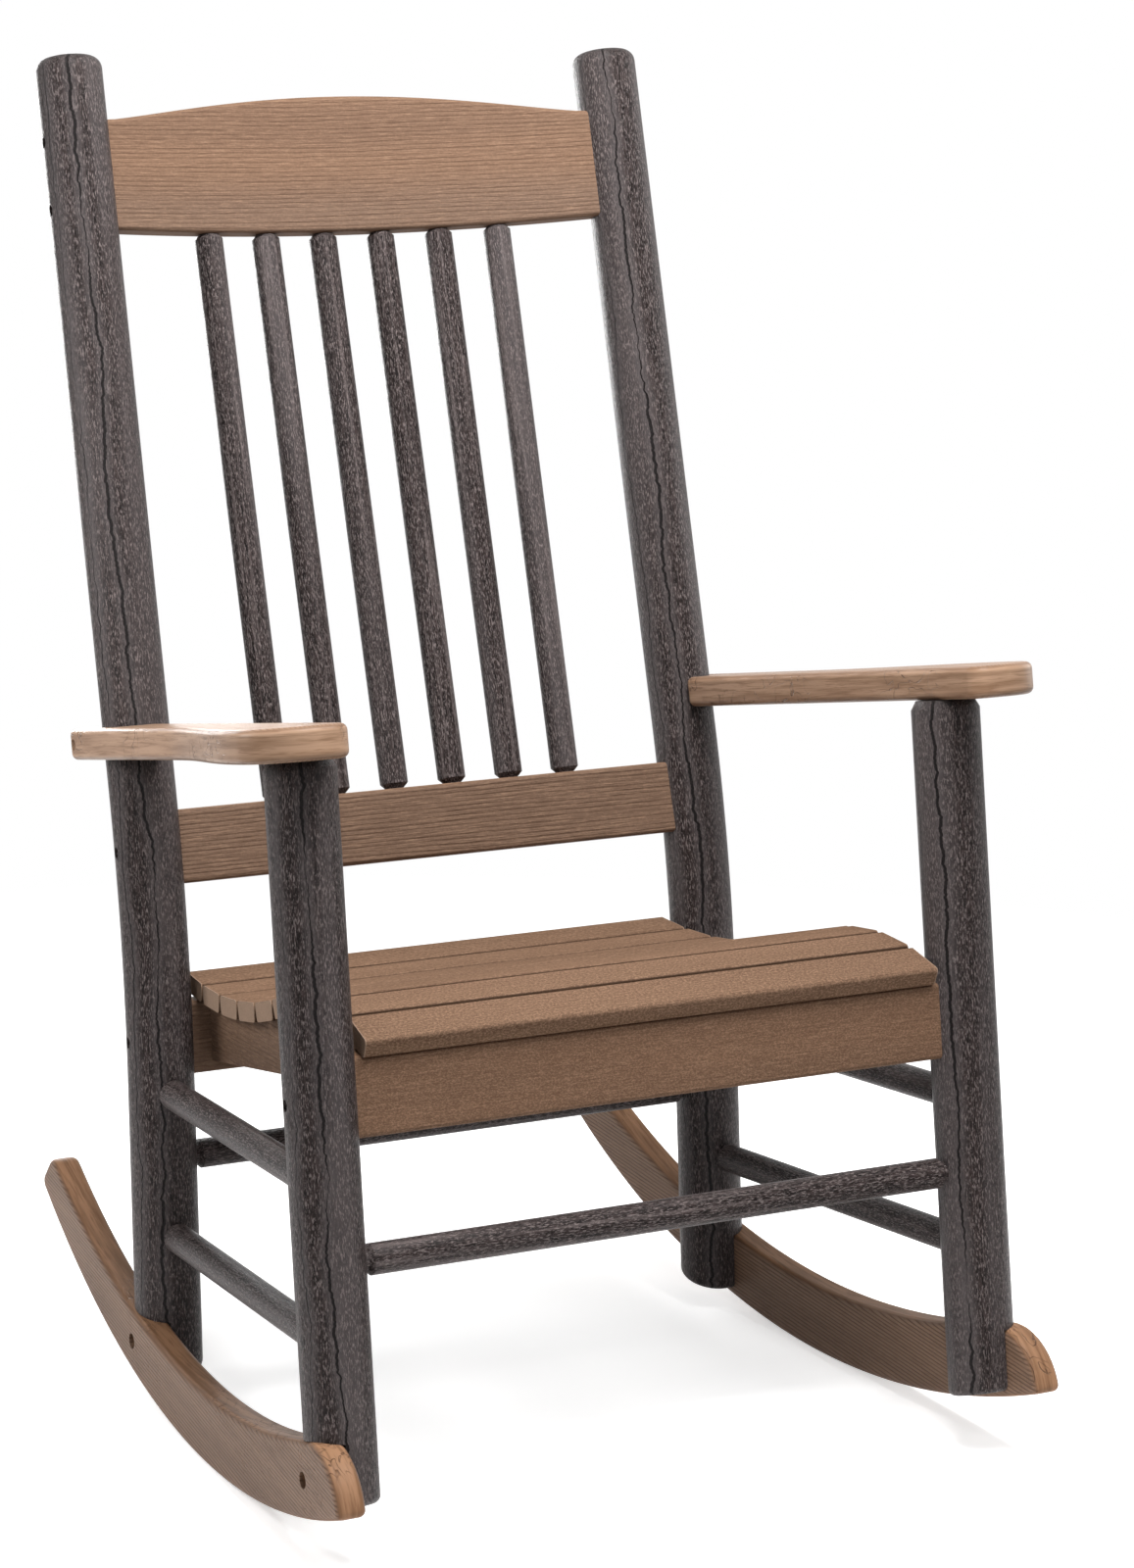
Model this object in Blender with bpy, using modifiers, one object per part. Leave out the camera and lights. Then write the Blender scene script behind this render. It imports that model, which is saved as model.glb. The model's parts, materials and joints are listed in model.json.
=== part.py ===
"""Log rocking chair: posts, rockers, arms, seat and back as separate joined pieces.

Metres, +Z up, the chair faces -Y. Left is -X, as seen from the front. Every piece is made
in an upright frame in which the side stretchers are level, and the whole chair is then
tilted about the rockers' arc centre to the way it stands on the floor.
"""
import math

import bpy
from mathutils import Vector

for old in list(bpy.data.objects):
    bpy.data.objects.remove(old, do_unlink=True)

# Fits
FIT = 0.0003

# Round stock
POST_R = 0.030
POST_SIDES = 24
POST_TOP_ROUND = 0.0115
FOOT_ROUND = 0.006
FRONT_FOOT_LIFT = 0.0063
REAR_FOOT_LIFT = 0.0095
STRETCHER_R = 0.0133
SPINDLE_R = 0.013
STICK_SIDES = 16
END_CHAMFER = 0.004
STRETCHER_TENON_R = 0.0095
STRETCHER_TENON_STOP = 0.010
SPINDLE_TENON_R = 0.0085
SPINDLE_TENON_LENGTH = 0.020
SOCKET_SIDES = 18
SOCKET_END_GAP = 0.0006
SHOULDER_GAP = 0.0012

# Half the seat's width at its front, which the posts, rockers and arms follow
SEAT_HALF_W = 0.2728

# Post axes: place at floor level and slope per metre of height
POST_BESIDE_SEAT = 0.0359
FRONT_X = SEAT_HALF_W + POST_BESIDE_SEAT
FRONT_X_SLOPE = -0.0036
FRONT_Y = -0.2196
FRONT_Y_SLOPE = 0.0858
REAR_INSET = 0.0260
REAR_X = FRONT_X - REAR_INSET
REAR_X_SLOPE = -0.0085
REAR_Y = 0.2213
REAR_Y_SLOPE = 0.0096
BEND_Z = 0.4302
BEND_R = 1.400
BEND_STEPS = 5
BACK_LEAN = math.radians(11.7)
BACK_LENGTH = 0.790

# Boards
RAIL_H = 0.0665
RAIL_T = 0.0255
RAIL_LEAD = 0.0095
RAIL_STOP = 0.012
RAIL_ROUND = 0.004
APRON_Z = 0.3260
REAR_RAIL_Z = 0.2980
LOWER_RAIL_D = 0.0400
CREST_BELOW_TOP = 0.1585
CREST_D = BACK_LENGTH - CREST_BELOW_TOP
CREST_END_H = 0.1008
CREST_RISE = 0.0230
CREST_PEAK = 1.25
CREST_DIP = 0.0035
CREST_BOW = 0.0240
CREST_STATIONS = 13
SPINDLE_COUNT = 6
SPINDLE_PITCH = 0.0590

# Stretchers
SIDE_STRETCHER_Z = 0.2220
FRONT_STRETCHER_Z = 0.2254
REAR_STRETCHER_Z = 0.2223
STRETCHER_STEP = 0.0655

# Rockers
ROCKER_T = 0.0262
ROCKER_PAST_AXIS = 0.0063
ROCKER_IN_X = FRONT_X - ROCKER_PAST_AXIS
ROCKER_TOE = -0.0576
ROCKER_ROUND = 0.006
ARC_R = 0.8829
ARC_DROP = 0.0062
ARC_Y = -0.0031
ARC_Z = ARC_R - ARC_DROP
ROCKER_H = 0.0647
TOP_R_MORE = 0.0075
TOP_BACK = 0.0131
TOP_R = ARC_R + TOP_R_MORE
TOP_Y = ARC_Y + TOP_BACK
TOP_Z = ARC_Z + TOP_R_MORE + ROCKER_H
ROCKER_FRONT = math.radians(-18.8)
ROCKER_TAIL = math.radians(34.3)
NOSE_ROUND = 0.058
TAIL_RAKE = math.radians(15)
TAIL_ROUND = 0.020
TAIL_LOW_ROUND = 0.010
FACET = math.radians(4.5)
LAP_REACH = 0.080

# Seat
SLAT_COUNT = 10
SLAT_PITCH = 0.0462
SLAT_GAP = 0.0030
SLAT_T = 0.0175
SLAT_DRAFT = 0.0013
SLAT_ROUND = 0.0035
SEAT_FRONT_Y = -0.2071
SEAT_PEAK_Y = -0.1064
SEAT_PEAK_Z = 0.4285
SEAT_PEAK_R = 0.254
SEAT_VALLEY_Y = 0.1662
SEAT_VALLEY_Z = 0.3810
SEAT_TAPER = -0.0624
SUPPORT_INSET = 0.0125
SUPPORT_T = 0.025
SUPPORT_REAR_Z = 0.3085
SUPPORT_FRONT_Z = 0.3580
TONGUE = 0.008
TONGUE_SHOULDER = 0.005

# Arms
ARM_Z = 0.6165
ARM_SLOPE = -0.1225
ARM_T = 0.028
ARM_ROUND = 0.006
ARM_LOBE_REACH = 0.0151
ARM_IN_REAR_X = REAR_X - ARM_LOBE_REACH
ARM_IN_SLOPE = -0.0505
ARM_PRONG_REACH = 0.0473
ARM_PRONG_X = REAR_X + ARM_PRONG_REACH
ARM_PADDLE_REACH = 0.0623
ARM_PADDLE_X = FRONT_X + ARM_PADDLE_REACH
ARM_S_REAR = 0.060
ARM_S_FRONT = -0.188
ARM_FRONT_Y = -0.2418
ARM_REAR_Y = 0.2960
ARM_OUT_CORNER = 0.050
ARM_IN_CORNER = 0.0175
ARM_END_CORNER = 0.012
POST_CHAMFER = 0.0045
POST_CHAMFER_H = 0.008
ARM_TENON_R = 0.015
ARM_TENON_LENGTH = 0.016

# Screws
SCREW_R = 0.0025
SCREW_SIDES = 12
HEAD_R = 0.0046
HEAD_H = 0.0035
BORE_R = 0.0051
BORE_DEPTH = 0.010
SCREW_LENGTH = 0.052
ROCKER_BORE_R = 0.0072
ROCKER_SCREW_LENGTH = 0.040
ROCKER_SCREW_Z = 0.055
ROCKER_SCREW_BACK = 0.008
ARM_SCREW_LENGTH = 0.034
CREST_SCREWS = (("lower", 0.21), ("upper", 0.82))
ARM_SCREW_TURNS = (math.radians(24), math.radians(52))

# How the chair stands: tilted back as in the photograph, on a flat of the rockers that reaches
# far enough behind the touching point to hold the empty chair there
REST_TILT = math.radians(4.5)
REST_FLAT = 0.112

UP = Vector((0, 0, 1))
SIDES = (("left", -1), ("right", 1))

parts = bpy.data.collections.new("log_rocking_chair")
cutters = bpy.data.collections.new("cutters")
bpy.context.scene.collection.children.link(parts)
bpy.context.scene.collection.children.link(cutters)

stand = bpy.data.objects.new("stand", None)
parts.objects.link(stand)
stand.rotation_euler = (-REST_TILT, 0, 0)


def finish(name, colour, roughness, metallic):
    mat = bpy.data.materials.new(name)
    mat.use_nodes = True
    shader = mat.node_tree.nodes["Principled BSDF"]
    shader.inputs["Base Color"].default_value = (*colour, 1)
    shader.inputs["Roughness"].default_value = roughness
    shader.inputs["Metallic"].default_value = metallic
    return mat


LOG = finish("charcoal_log", (0.060, 0.050, 0.046), 0.55, 0)
BOARD = finish("tan_board", (0.230, 0.140, 0.085), 0.50, 0)
STEEL = finish("dark_steel", (0.050, 0.045, 0.040), 0.40, 1)


def solid(name, verts, faces, mat):
    """A closed mesh turned to face outward; without a material it is a cutter."""
    volume = 0.0
    for face in faces:
        for i in range(1, len(face) - 1):
            a, b, c = verts[face[0]], verts[face[i]], verts[face[i + 1]]
            volume += a.dot(b.cross(c))
    if volume < 0:
        faces = [tuple(reversed(face)) for face in faces]
    mesh = bpy.data.meshes.new(name)
    mesh.from_pydata([tuple(v) for v in verts], [], faces)
    piece = bpy.data.objects.new(name, mesh)
    piece.parent = stand
    if mat is None:
        piece.hide_render = True
        piece.display_type = "WIRE"
        cutters.objects.link(piece)
    else:
        mesh.materials.append(mat)
        parts.objects.link(piece)
    return piece


def loft(name, rings, mat):
    count = len(rings[0])
    verts = [point for ring in rings for point in ring]
    faces = []
    for k in range(len(rings) - 1):
        for i in range(count):
            j = (i + 1) % count
            faces.append((k * count + i, k * count + j, (k + 1) * count + j, (k + 1) * count + i))
    last = (len(rings) - 1) * count
    faces.append(tuple(reversed(range(count))))
    faces.append(tuple(last + i for i in range(count)))
    return solid(name, verts, faces, mat)


def turned(name, start, along, profile, sides, mat):
    along = along.normalized()
    u = along.orthogonal().normalized()
    w = along.cross(u)
    rings = []
    for reach, radius in profile:
        ring = []
        for i in range(sides):
            turn = 2 * math.pi * i / sides
            ring.append(start + along * reach + (u * math.cos(turn) + w * math.sin(turn)) * radius)
        rings.append(ring)
    return loft(name, rings, mat)


def cut(piece, cutter):
    mod = piece.modifiers.new(cutter.name, "BOOLEAN")
    mod.operation = "DIFFERENCE"
    mod.solver = "EXACT"
    mod.object = cutter


def bevel(piece, width):
    mod = piece.modifiers.new("rounded_edges", "BEVEL")
    mod.width = width
    mod.segments = 2
    mod.limit_method = "ANGLE"
    mod.angle_limit = math.radians(50)


def rounded(points, radius, steps=2):
    """A polygon's points with every corner replaced by an arc."""
    out = []
    for i, corner in enumerate(points):
        out += arc_corner(points[i - 1], corner, points[(i + 1) % len(points)], radius, steps)
    return out


def arc_corner(before, corner, after, radius, steps):
    a = (before - corner).normalized()
    b = (after - corner).normalized()
    half = a.angle(b) / 2
    middle = corner + (a + b).normalized() * (radius / math.sin(half))
    first = corner + a * (radius / math.tan(half)) - middle
    final = corner + b * (radius / math.tan(half)) - middle
    out = []
    for k in range(steps + 1):
        swing = first.lerp(final, k / steps)
        out.append(middle + swing.normalized() * radius)
    return out


def front_axis(z, side=1):
    return Vector((side * (FRONT_X + FRONT_X_SLOPE * z), FRONT_Y + FRONT_Y_SLOPE * z, z))


def rear_axis(z, side=1):
    return Vector((side * (REAR_X + REAR_X_SLOPE * z), REAR_Y + REAR_Y_SLOPE * z, z))


def back_up(side=1):
    lean = math.cos(BACK_LEAN)
    return Vector((side * REAR_X_SLOPE * lean, math.sin(BACK_LEAN), lean))


def back_axis(reach, side=1):
    return rear_axis(BEND_Z, side) + back_up(side) * reach


def arm_under(y):
    return ARM_Z + ARM_SLOPE * y


ARM_UP = Vector((0, -ARM_SLOPE, 1)).normalized()


def on_arc(angle, radius=ARC_R):
    return Vector((0, ARC_Y + radius * math.sin(angle), ARC_Z - radius * math.cos(angle)))


def rocker_top(y, grow=0.0):
    radius = TOP_R - grow
    return TOP_Z - math.sqrt(radius ** 2 - (y - TOP_Y) ** 2)


def post_ring(base, along, radius, plane_point, plane_normal):
    """Points where a round post's sides meet a plane."""
    u = Vector((1, 0, 0))
    w = along.cross(u).normalized()
    u = w.cross(along).normalized()
    ring = []
    for i in range(POST_SIDES):
        turn = 2 * math.pi * i / POST_SIDES
        edge = base + (u * math.cos(turn) + w * math.sin(turn)) * radius
        slide = plane_normal.dot(plane_point - edge) / plane_normal.dot(along)
        ring.append(edge + along * slide)
    return ring


def foot_rings(axis, along, side, clear):
    """The foot is cut to the rocker's curve, a little above it, with a rounded rim."""
    low = axis(0.03, side)
    angle = math.atan2(low.y - ARC_Y, ARC_Z - low.z)
    normal = Vector((0, -math.sin(angle), math.cos(angle)))
    sole = on_arc(angle, ARC_R - clear)
    rings = []
    for lift, inset in ((0, 1), (0.3, 0.3), (1, 0)):
        plane_point = sole + normal * FOOT_ROUND * lift
        rings.append(post_ring(low, along, POST_R - FOOT_ROUND * inset, plane_point, normal))
    return rings


def front_post(name, side):
    along = (front_axis(1, side) - front_axis(0, side)).normalized()
    base = front_axis(0.5, side)
    top_y = (FRONT_Y + FRONT_Y_SLOPE * ARM_Z) / (1 - FRONT_Y_SLOPE * ARM_SLOPE)
    top = Vector((0, top_y, arm_under(top_y))) - ARM_UP * FIT
    rings = foot_rings(front_axis, along, side, FRONT_FOOT_LIFT)
    rings.append(post_ring(base, along, POST_R, top - ARM_UP * POST_CHAMFER_H, ARM_UP))
    rings.append(post_ring(base, along, POST_R - POST_CHAMFER, top, ARM_UP))
    rings.append(post_ring(base, along, ARM_TENON_R, top, ARM_UP))
    rings.append(post_ring(base, along, ARM_TENON_R, top + ARM_UP * ARM_TENON_LENGTH, ARM_UP))
    post = loft(name, rings, LOG)
    ends = (top - ARM_UP * POST_CHAMFER_H, top + ARM_UP * (ARM_TENON_LENGTH + SOCKET_END_GAP))
    socket = [post_ring(base, along, ARM_TENON_R + FIT, end, ARM_UP) for end in ends]
    return post, loft("cut_" + name + "_tenon", socket, None)


def rear_post(name, side):
    lower = (rear_axis(1, side) - rear_axis(0, side)).normalized()
    upper = back_up(side).normalized()
    rings = foot_rings(rear_axis, lower, side, REAR_FOOT_LIFT)
    bend = rear_axis(BEND_Z, side)
    turn = lower.angle(upper)
    reach = BEND_R * math.tan(turn / 2)
    for k in range(BEND_STEPS + 1):
        share = k / BEND_STEPS
        along = lower.lerp(upper, share).normalized()
        swing = turn * share
        start = bend - lower * reach
        sideways = (upper - lower * upper.dot(lower)).normalized()
        middle = start + lower * BEND_R * math.sin(swing) + sideways * BEND_R * (1 - math.cos(swing))
        rings.append(post_ring(middle, along, POST_R, middle, along))
    for drop, inset in ((1, 0), (0.3, 0.3), (0, 1)):
        spot = bend + upper * (BACK_LENGTH - POST_TOP_ROUND * drop)
        rings.append(post_ring(spot, upper, POST_R - POST_TOP_ROUND * inset, spot, upper))
    return loft(name, rings, LOG)


def rocker_profile():
    """Side view from the front's lower corner along the floor to the tail, then back on top."""
    flats = [REST_TILT]
    while flats[0] - FACET > ROCKER_FRONT:
        flats.insert(0, flats[0] - FACET)
    flats.append(REST_TILT + 2 * math.atan2(REST_FLAT, ARC_R))
    while flats[-1] + FACET < ROCKER_TAIL:
        flats.append(flats[-1] + FACET)
    low = [on_arc(ROCKER_FRONT)]
    for first, second in zip(flats, flats[1:]):
        low.append(on_arc((first + second) / 2, ARC_R / math.cos((second - first) / 2)))
    low.append(on_arc(ROCKER_TAIL))
    ends = []
    for angle, rake in ((ROCKER_TAIL, TAIL_RAKE), (ROCKER_FRONT, 0)):
        spot = on_arc(angle)
        rise = Vector((0, -math.sin(angle + rake), math.cos(angle + rake)))
        step = 0.04
        for _ in range(30):
            point = spot + rise * step
            step += (rocker_top(point.y) - point.z) * rise.z
        ends.append(spot + rise * step)
    tail, nose = ends
    ys = [tail.y + (nose.y - tail.y) * i / 18 for i in range(1, 18)]
    top = [Vector((0, y, rocker_top(y))) for y in ys]
    tail_arc = arc_corner(low[-1], tail, top[0], TAIL_ROUND, 3)
    low_arc = arc_corner(low[-2], low[-1], tail, TAIL_LOW_ROUND, 3)
    nose_arc = arc_corner(top[-1], nose, low[0], NOSE_ROUND, 6)
    top = [p for p in top if nose_arc[0].y + 0.004 < p.y < tail_arc[-1].y - 0.004]
    return low[:-1] + low_arc + tail_arc + top + nose_arc


def plate(name, profile, in_x, thick, mat, side):
    """A side-view profile made into a board whose faces follow the rockers' toe-in."""
    rings = []
    for out in (0, thick):
        rings.append([Vector((side * (in_x + ROCKER_TOE * p.y + out), p.y, p.z)) for p in profile])
    return loft(name, rings, mat)


def rocker_housing(name, side):
    """The room that the posts give to a rocker, open to the outside and below."""
    front, rear = FRONT_Y - 2 * POST_R, REAR_Y + 2 * POST_R
    ys = [front + (rear - front) * i / 24 for i in range(25)]
    profile = [Vector((0, y, rocker_top(y, FIT))) for y in ys]
    profile += [Vector((0, rear, -LAP_REACH)), Vector((0, front, -LAP_REACH))]
    return plate(name, profile, ROCKER_IN_X - FIT, LAP_REACH, None, side)


def arm(name, side):
    """The arm's outline seen from above, notched at the rear around the post."""
    def inner(y):
        return ARM_IN_REAR_X + ARM_IN_SLOPE * (y - LOBE_Y)

    front_in = Vector((inner(ARM_FRONT_Y), ARM_FRONT_Y, 0))
    front_out = Vector((ARM_PADDLE_X, ARM_FRONT_Y, 0))
    rear_out = Vector((ARM_PRONG_X, ARM_REAR_Y, 0))
    rear_in = Vector((NOTCH_X, ARM_REAR_Y, 0))
    lobe_in = Vector((inner(LOBE_Y), LOBE_Y, 0))
    notch = Vector((NOTCH_X, LOBE_Y, 0))
    outline = [lobe_in]
    outline += arc_corner(lobe_in, front_in, front_out, ARM_IN_CORNER, 4)
    outline += arc_corner(front_in, front_out, Vector((ARM_PADDLE_X, 0, 0)), ARM_OUT_CORNER, 6)
    for i in range(9):
        share = i / 8
        y = ARM_S_FRONT + (ARM_S_REAR - ARM_S_FRONT) * share
        ease = 3 * share ** 2 - 2 * share ** 3
        outline.append(Vector((ARM_PADDLE_X + (ARM_PRONG_X - ARM_PADDLE_X) * ease, y, 0)))
    outline += arc_corner(outline[-1], rear_out, rear_in, ARM_END_CORNER, 3)
    outline += [rear_in, notch]
    lean = math.tan(BACK_LEAN + math.atan(ARM_SLOPE)) * ARM_T
    rings = []
    for rise in (0, ARM_T):
        ring = []
        for p in outline:
            spot = Vector((side * p.x, p.y, arm_under(p.y))) + ARM_UP * rise
            if p in (lobe_in, notch) and rise:
                spot.y += lean
                spot.z += lean * ARM_SLOPE
            ring.append(spot)
        rings.append(ring)
    piece = loft(name, rings, BOARD)
    bevel(piece, ARM_ROUND)
    return piece


def rail(name, up, height, foot, mat, stop, grow=0.0, top_slope=0.0):
    """A straight rail between two posts, its face set ahead of the posts' axes."""
    ahead = Vector((0, -up.z, up.y))
    half = foot.x - stop
    lead, back = RAIL_LEAD + grow, RAIL_LEAD - RAIL_T - grow
    corners = [
        ahead * back - up * grow,
        ahead * lead - up * grow,
        ahead * lead + up * (height + grow),
        ahead * back + up * (height + grow + top_slope * (lead - back)),
    ]
    section = rounded(corners, RAIL_ROUND)
    rings = []
    for x in (-half, half):
        rings.append([Vector((x, foot.y + p.y, foot.z + p.z)) for p in section])
    return loft(name, rings, mat)


def crest(name, mat, stop, grow=0.0):
    """The arched top rail, bowed to the rear between its ends."""
    up = Vector((0, math.sin(BACK_LEAN), math.cos(BACK_LEAN)))
    ahead = Vector((0, -up.z, up.y))
    inside = back_axis(CREST_D + CREST_END_H / 2).x
    half = inside - stop
    foot = back_axis(CREST_D)
    rings = []
    for i in range(CREST_STATIONS):
        x = -half + 2 * half * i / (CREST_STATIONS - 1)
        share = 1 - (x / (inside - POST_R)) ** 2
        height = CREST_END_H + CREST_RISE * max(share, 0) ** CREST_PEAK
        dip = CREST_DIP * share + grow
        shift = RAIL_LEAD - CREST_BOW * share
        corners = [
            ahead * (shift - RAIL_T - grow) - up * dip,
            ahead * (shift + grow) - up * dip,
            ahead * (shift + grow) + up * (height + grow),
            ahead * (shift - RAIL_T - grow) + up * (height + grow),
        ]
        section = rounded(corners, RAIL_ROUND)
        rings.append([Vector((x, foot.y + p.y, foot.z + p.z)) for p in section])
    return loft(name, rings, mat)


def stick(name, start, end, shoulders, tenons, radius, tenon_r):
    """A round stick with chamfered shoulders and a tenon at each end."""
    along = (end - start).normalized()
    length = (end - start).length
    a, b = shoulders[0], length - shoulders[1]
    ta, tb = tenons[0], length - tenons[1]
    edge = radius - END_CHAMFER
    profile = [
        (ta, tenon_r), (a, tenon_r), (a, edge), (a + END_CHAMFER, radius),
        (b - END_CHAMFER, radius), (b, edge), (b, tenon_r), (tb, tenon_r),
    ]
    if edge <= tenon_r:
        profile = [p for k, p in enumerate(profile) if k not in (2, 5)]
    piece = turned(name, start, along, profile, STICK_SIDES, LOG)
    holes = []
    spans = (("a", ta - SOCKET_END_GAP, a + SHOULDER_GAP), ("b", b - SHOULDER_GAP, tb + SOCKET_END_GAP))
    for tag, low, high in spans:
        hole = [(low, tenon_r + FIT), (high, tenon_r + FIT)]
        holes.append(turned("cut_" + name + "_" + tag, start, along, hole, SOCKET_SIDES, None))
    return piece, holes


def screw(name, surface, along, length, bore_r, pieces):
    """A screw sunk in a bore, cut through every piece that it passes."""
    top = BORE_DEPTH
    neck = top + HEAD_H
    end = top + length
    profile = [
        (top, HEAD_R * 0.7), (top + 0.001, HEAD_R), (neck, HEAD_R),
        (neck, SCREW_R), (end - 0.004, SCREW_R), (end, SCREW_R * 0.3),
    ]
    turned(name, surface, along, profile, SCREW_SIDES, STEEL)
    hole = [
        (-0.03, bore_r), (neck + FIT, bore_r),
        (neck + FIT, SCREW_R + FIT), (end + SOCKET_END_GAP, SCREW_R + FIT),
    ]
    cutter = turned("cut_" + name, surface, along, hole, SCREW_SIDES, None)
    for piece in pieces:
        cut(piece, cutter)


def seat_height(y):
    """Seat curve seen from the side: a hump at the front flowing into a hollow."""
    sweep = 2 * math.atan2(SEAT_PEAK_Z - SEAT_VALLEY_Z, SEAT_VALLEY_Y - SEAT_PEAK_Y)
    valley_r = (SEAT_VALLEY_Y - SEAT_PEAK_Y) / math.sin(sweep) - SEAT_PEAK_R
    if y < SEAT_PEAK_Y + SEAT_PEAK_R * math.sin(sweep):
        return SEAT_PEAK_Z - SEAT_PEAK_R + math.sqrt(SEAT_PEAK_R ** 2 - (y - SEAT_PEAK_Y) ** 2)
    return SEAT_VALLEY_Z + valley_r - math.sqrt(valley_r ** 2 - (y - SEAT_VALLEY_Y) ** 2)


def seat_joints():
    joints = [Vector((0, SEAT_FRONT_Y, seat_height(SEAT_FRONT_Y)))]
    for _ in range(SLAT_COUNT):
        here = joints[-1]
        y = here.y + SLAT_PITCH
        for _ in range(12):
            step = Vector((0, y, seat_height(y))) - here
            y = here.y + step.y * SLAT_PITCH / step.length
        joints.append(Vector((0, y, seat_height(y))))
    return joints


def seat_half(y):
    return SEAT_HALF_W + SEAT_TAPER * (y - SEAT_FRONT_Y)


def slat(name, start, end):
    along = (end - start).normalized()
    up = Vector((0, -along.z, along.y))
    middle = (start + end) / 2
    top = (SLAT_PITCH - SLAT_GAP) / 2
    foot = top - SLAT_DRAFT
    corners = [
        middle - along * foot - up * SLAT_T,
        middle + along * foot - up * SLAT_T,
        middle + along * top,
        middle - along * top,
    ]
    section = rounded(corners, SLAT_ROUND)
    rings = []
    for side in (-1, 1):
        rings.append([Vector((side * seat_half(p.y), p.y, p.z)) for p in section])
    return loft(name, rings, BOARD)


def seat_support(name, side, joints, front_y, rear_y):
    """A side board under the slats, shaped to their undersides, with a tongue at each end."""
    under = []
    for k in range(SLAT_COUNT + 1):
        a = (joints[max(k, 1)] - joints[max(k, 1) - 1]).normalized()
        b = (joints[min(k, SLAT_COUNT - 1) + 1] - joints[min(k, SLAT_COUNT - 1)]).normalized()
        down = Vector((0, a.z + b.z, -a.y - b.y)).normalized()
        under.append(joints[k] + down * (SLAT_T + FIT) / math.cos(a.angle(b) / 2))

    def at(y):
        for p, q in zip(under, under[1:]):
            if y <= q.y:
                break
        return p.z + (q.z - p.z) * (y - p.y) / (q.y - p.y)

    def side_point(y, z, inward):
        return Vector((side * (seat_half(y) - SUPPORT_INSET - inward), y, z))

    front_low = SUPPORT_FRONT_Z + TONGUE_SHOULDER
    front_high = at(front_y) - TONGUE_SHOULDER * 3
    rear_low = SUPPORT_REAR_Z + TONGUE_SHOULDER
    rear_high = at(rear_y) - TONGUE_SHOULDER * 3
    outline = [(front_y, SUPPORT_FRONT_Z), (rear_y, SUPPORT_REAR_Z), (rear_y, rear_low)]
    outline += [(rear_y + TONGUE, rear_low), (rear_y + TONGUE, rear_high), (rear_y, rear_high)]
    outline.append((rear_y, at(rear_y)))
    outline += [(p.y, p.z) for p in reversed(under) if front_y + 0.003 < p.y < rear_y - 0.003]
    outline += [(front_y, at(front_y)), (front_y, front_high), (front_y - TONGUE, front_high)]
    outline += [(front_y - TONGUE, front_low), (front_y, front_low)]
    rings = [[side_point(y, z, inward) for y, z in outline] for inward in (0, SUPPORT_T)]
    piece = loft(name, rings, BOARD)
    pockets = []
    spans = (
        ("front", front_y - TONGUE - FIT, front_y + 0.004, front_low, front_high),
        ("rear", rear_y - 0.004, rear_y + TONGUE + FIT, rear_low, rear_high),
    )
    for tag, y0, y1, z0, z1 in spans:
        loop = [(y0, z0 - FIT), (y1, z0 - FIT), (y1, z1 + FIT), (y0, z1 + FIT)]
        faces = [[side_point(y, z, inward) for y, z in loop] for inward in (-FIT, SUPPORT_T + FIT)]
        pockets.append(loft("cut_" + name + "_" + tag, faces, None))
    return piece, pockets


# Where the arm meets the rear post: the post's front and outer sides, at the arm's underside
arm_rear_y = rear_axis(BEND_Z).y
for _ in range(8):
    arm_rear_d = (arm_under(arm_rear_y) - BEND_Z) / back_up().z
    arm_rear_y = back_axis(arm_rear_d).y
LOBE_Y = arm_rear_y - (POST_R + 2 * FIT) / math.cos(BACK_LEAN)
NOTCH_X = back_axis(arm_rear_d).x + POST_R + FIT

# Posts, rockers and arms
posts = {}
rockers = {}
arms = {}
for label, side in SIDES:
    post, tenon = front_post(label + "_front_post", side)
    posts[label, "front"] = post
    posts[label, "rear"] = rear_post(label + "_rear_post", side)
    rockers[label] = plate(label + "_rocker", rocker_profile(), ROCKER_IN_X, ROCKER_T, BOARD, side)
    bevel(rockers[label], ROCKER_ROUND)
    housing = rocker_housing("cut_" + label + "_rocker_lap", side)
    cut(post, housing)
    cut(posts[label, "rear"], housing)
    arms[label] = arm(label + "_armrest", side)
    cut(arms[label], tenon)

# Stretchers
reach = POST_R + SHOULDER_GAP
for label, side in SIDES:
    for tag, step in (("upper", STRETCHER_STEP), ("lower", -STRETCHER_STEP)):
        z = SIDE_STRETCHER_Z + step
        name = label + "_" + tag + "_stretcher"
        piece, holes = stick(
            name, front_axis(z, side), rear_axis(z, side), (reach, reach),
            (STRETCHER_TENON_STOP, STRETCHER_TENON_STOP), STRETCHER_R, STRETCHER_TENON_R)
        cut(posts[label, "front"], holes[0])
        cut(posts[label, "rear"], holes[1])
cross = (("front", front_axis, FRONT_STRETCHER_Z), ("rear", rear_axis, REAR_STRETCHER_Z))
for tag, axis_of, z in cross:
    piece, holes = stick(
        tag + "_stretcher", axis_of(z, -1), axis_of(z, 1), (reach, reach),
        (STRETCHER_TENON_STOP, STRETCHER_TENON_STOP), STRETCHER_R, STRETCHER_TENON_R)
    cut(posts["left", tag], holes[0])
    cut(posts["right", tag], holes[1])

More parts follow.
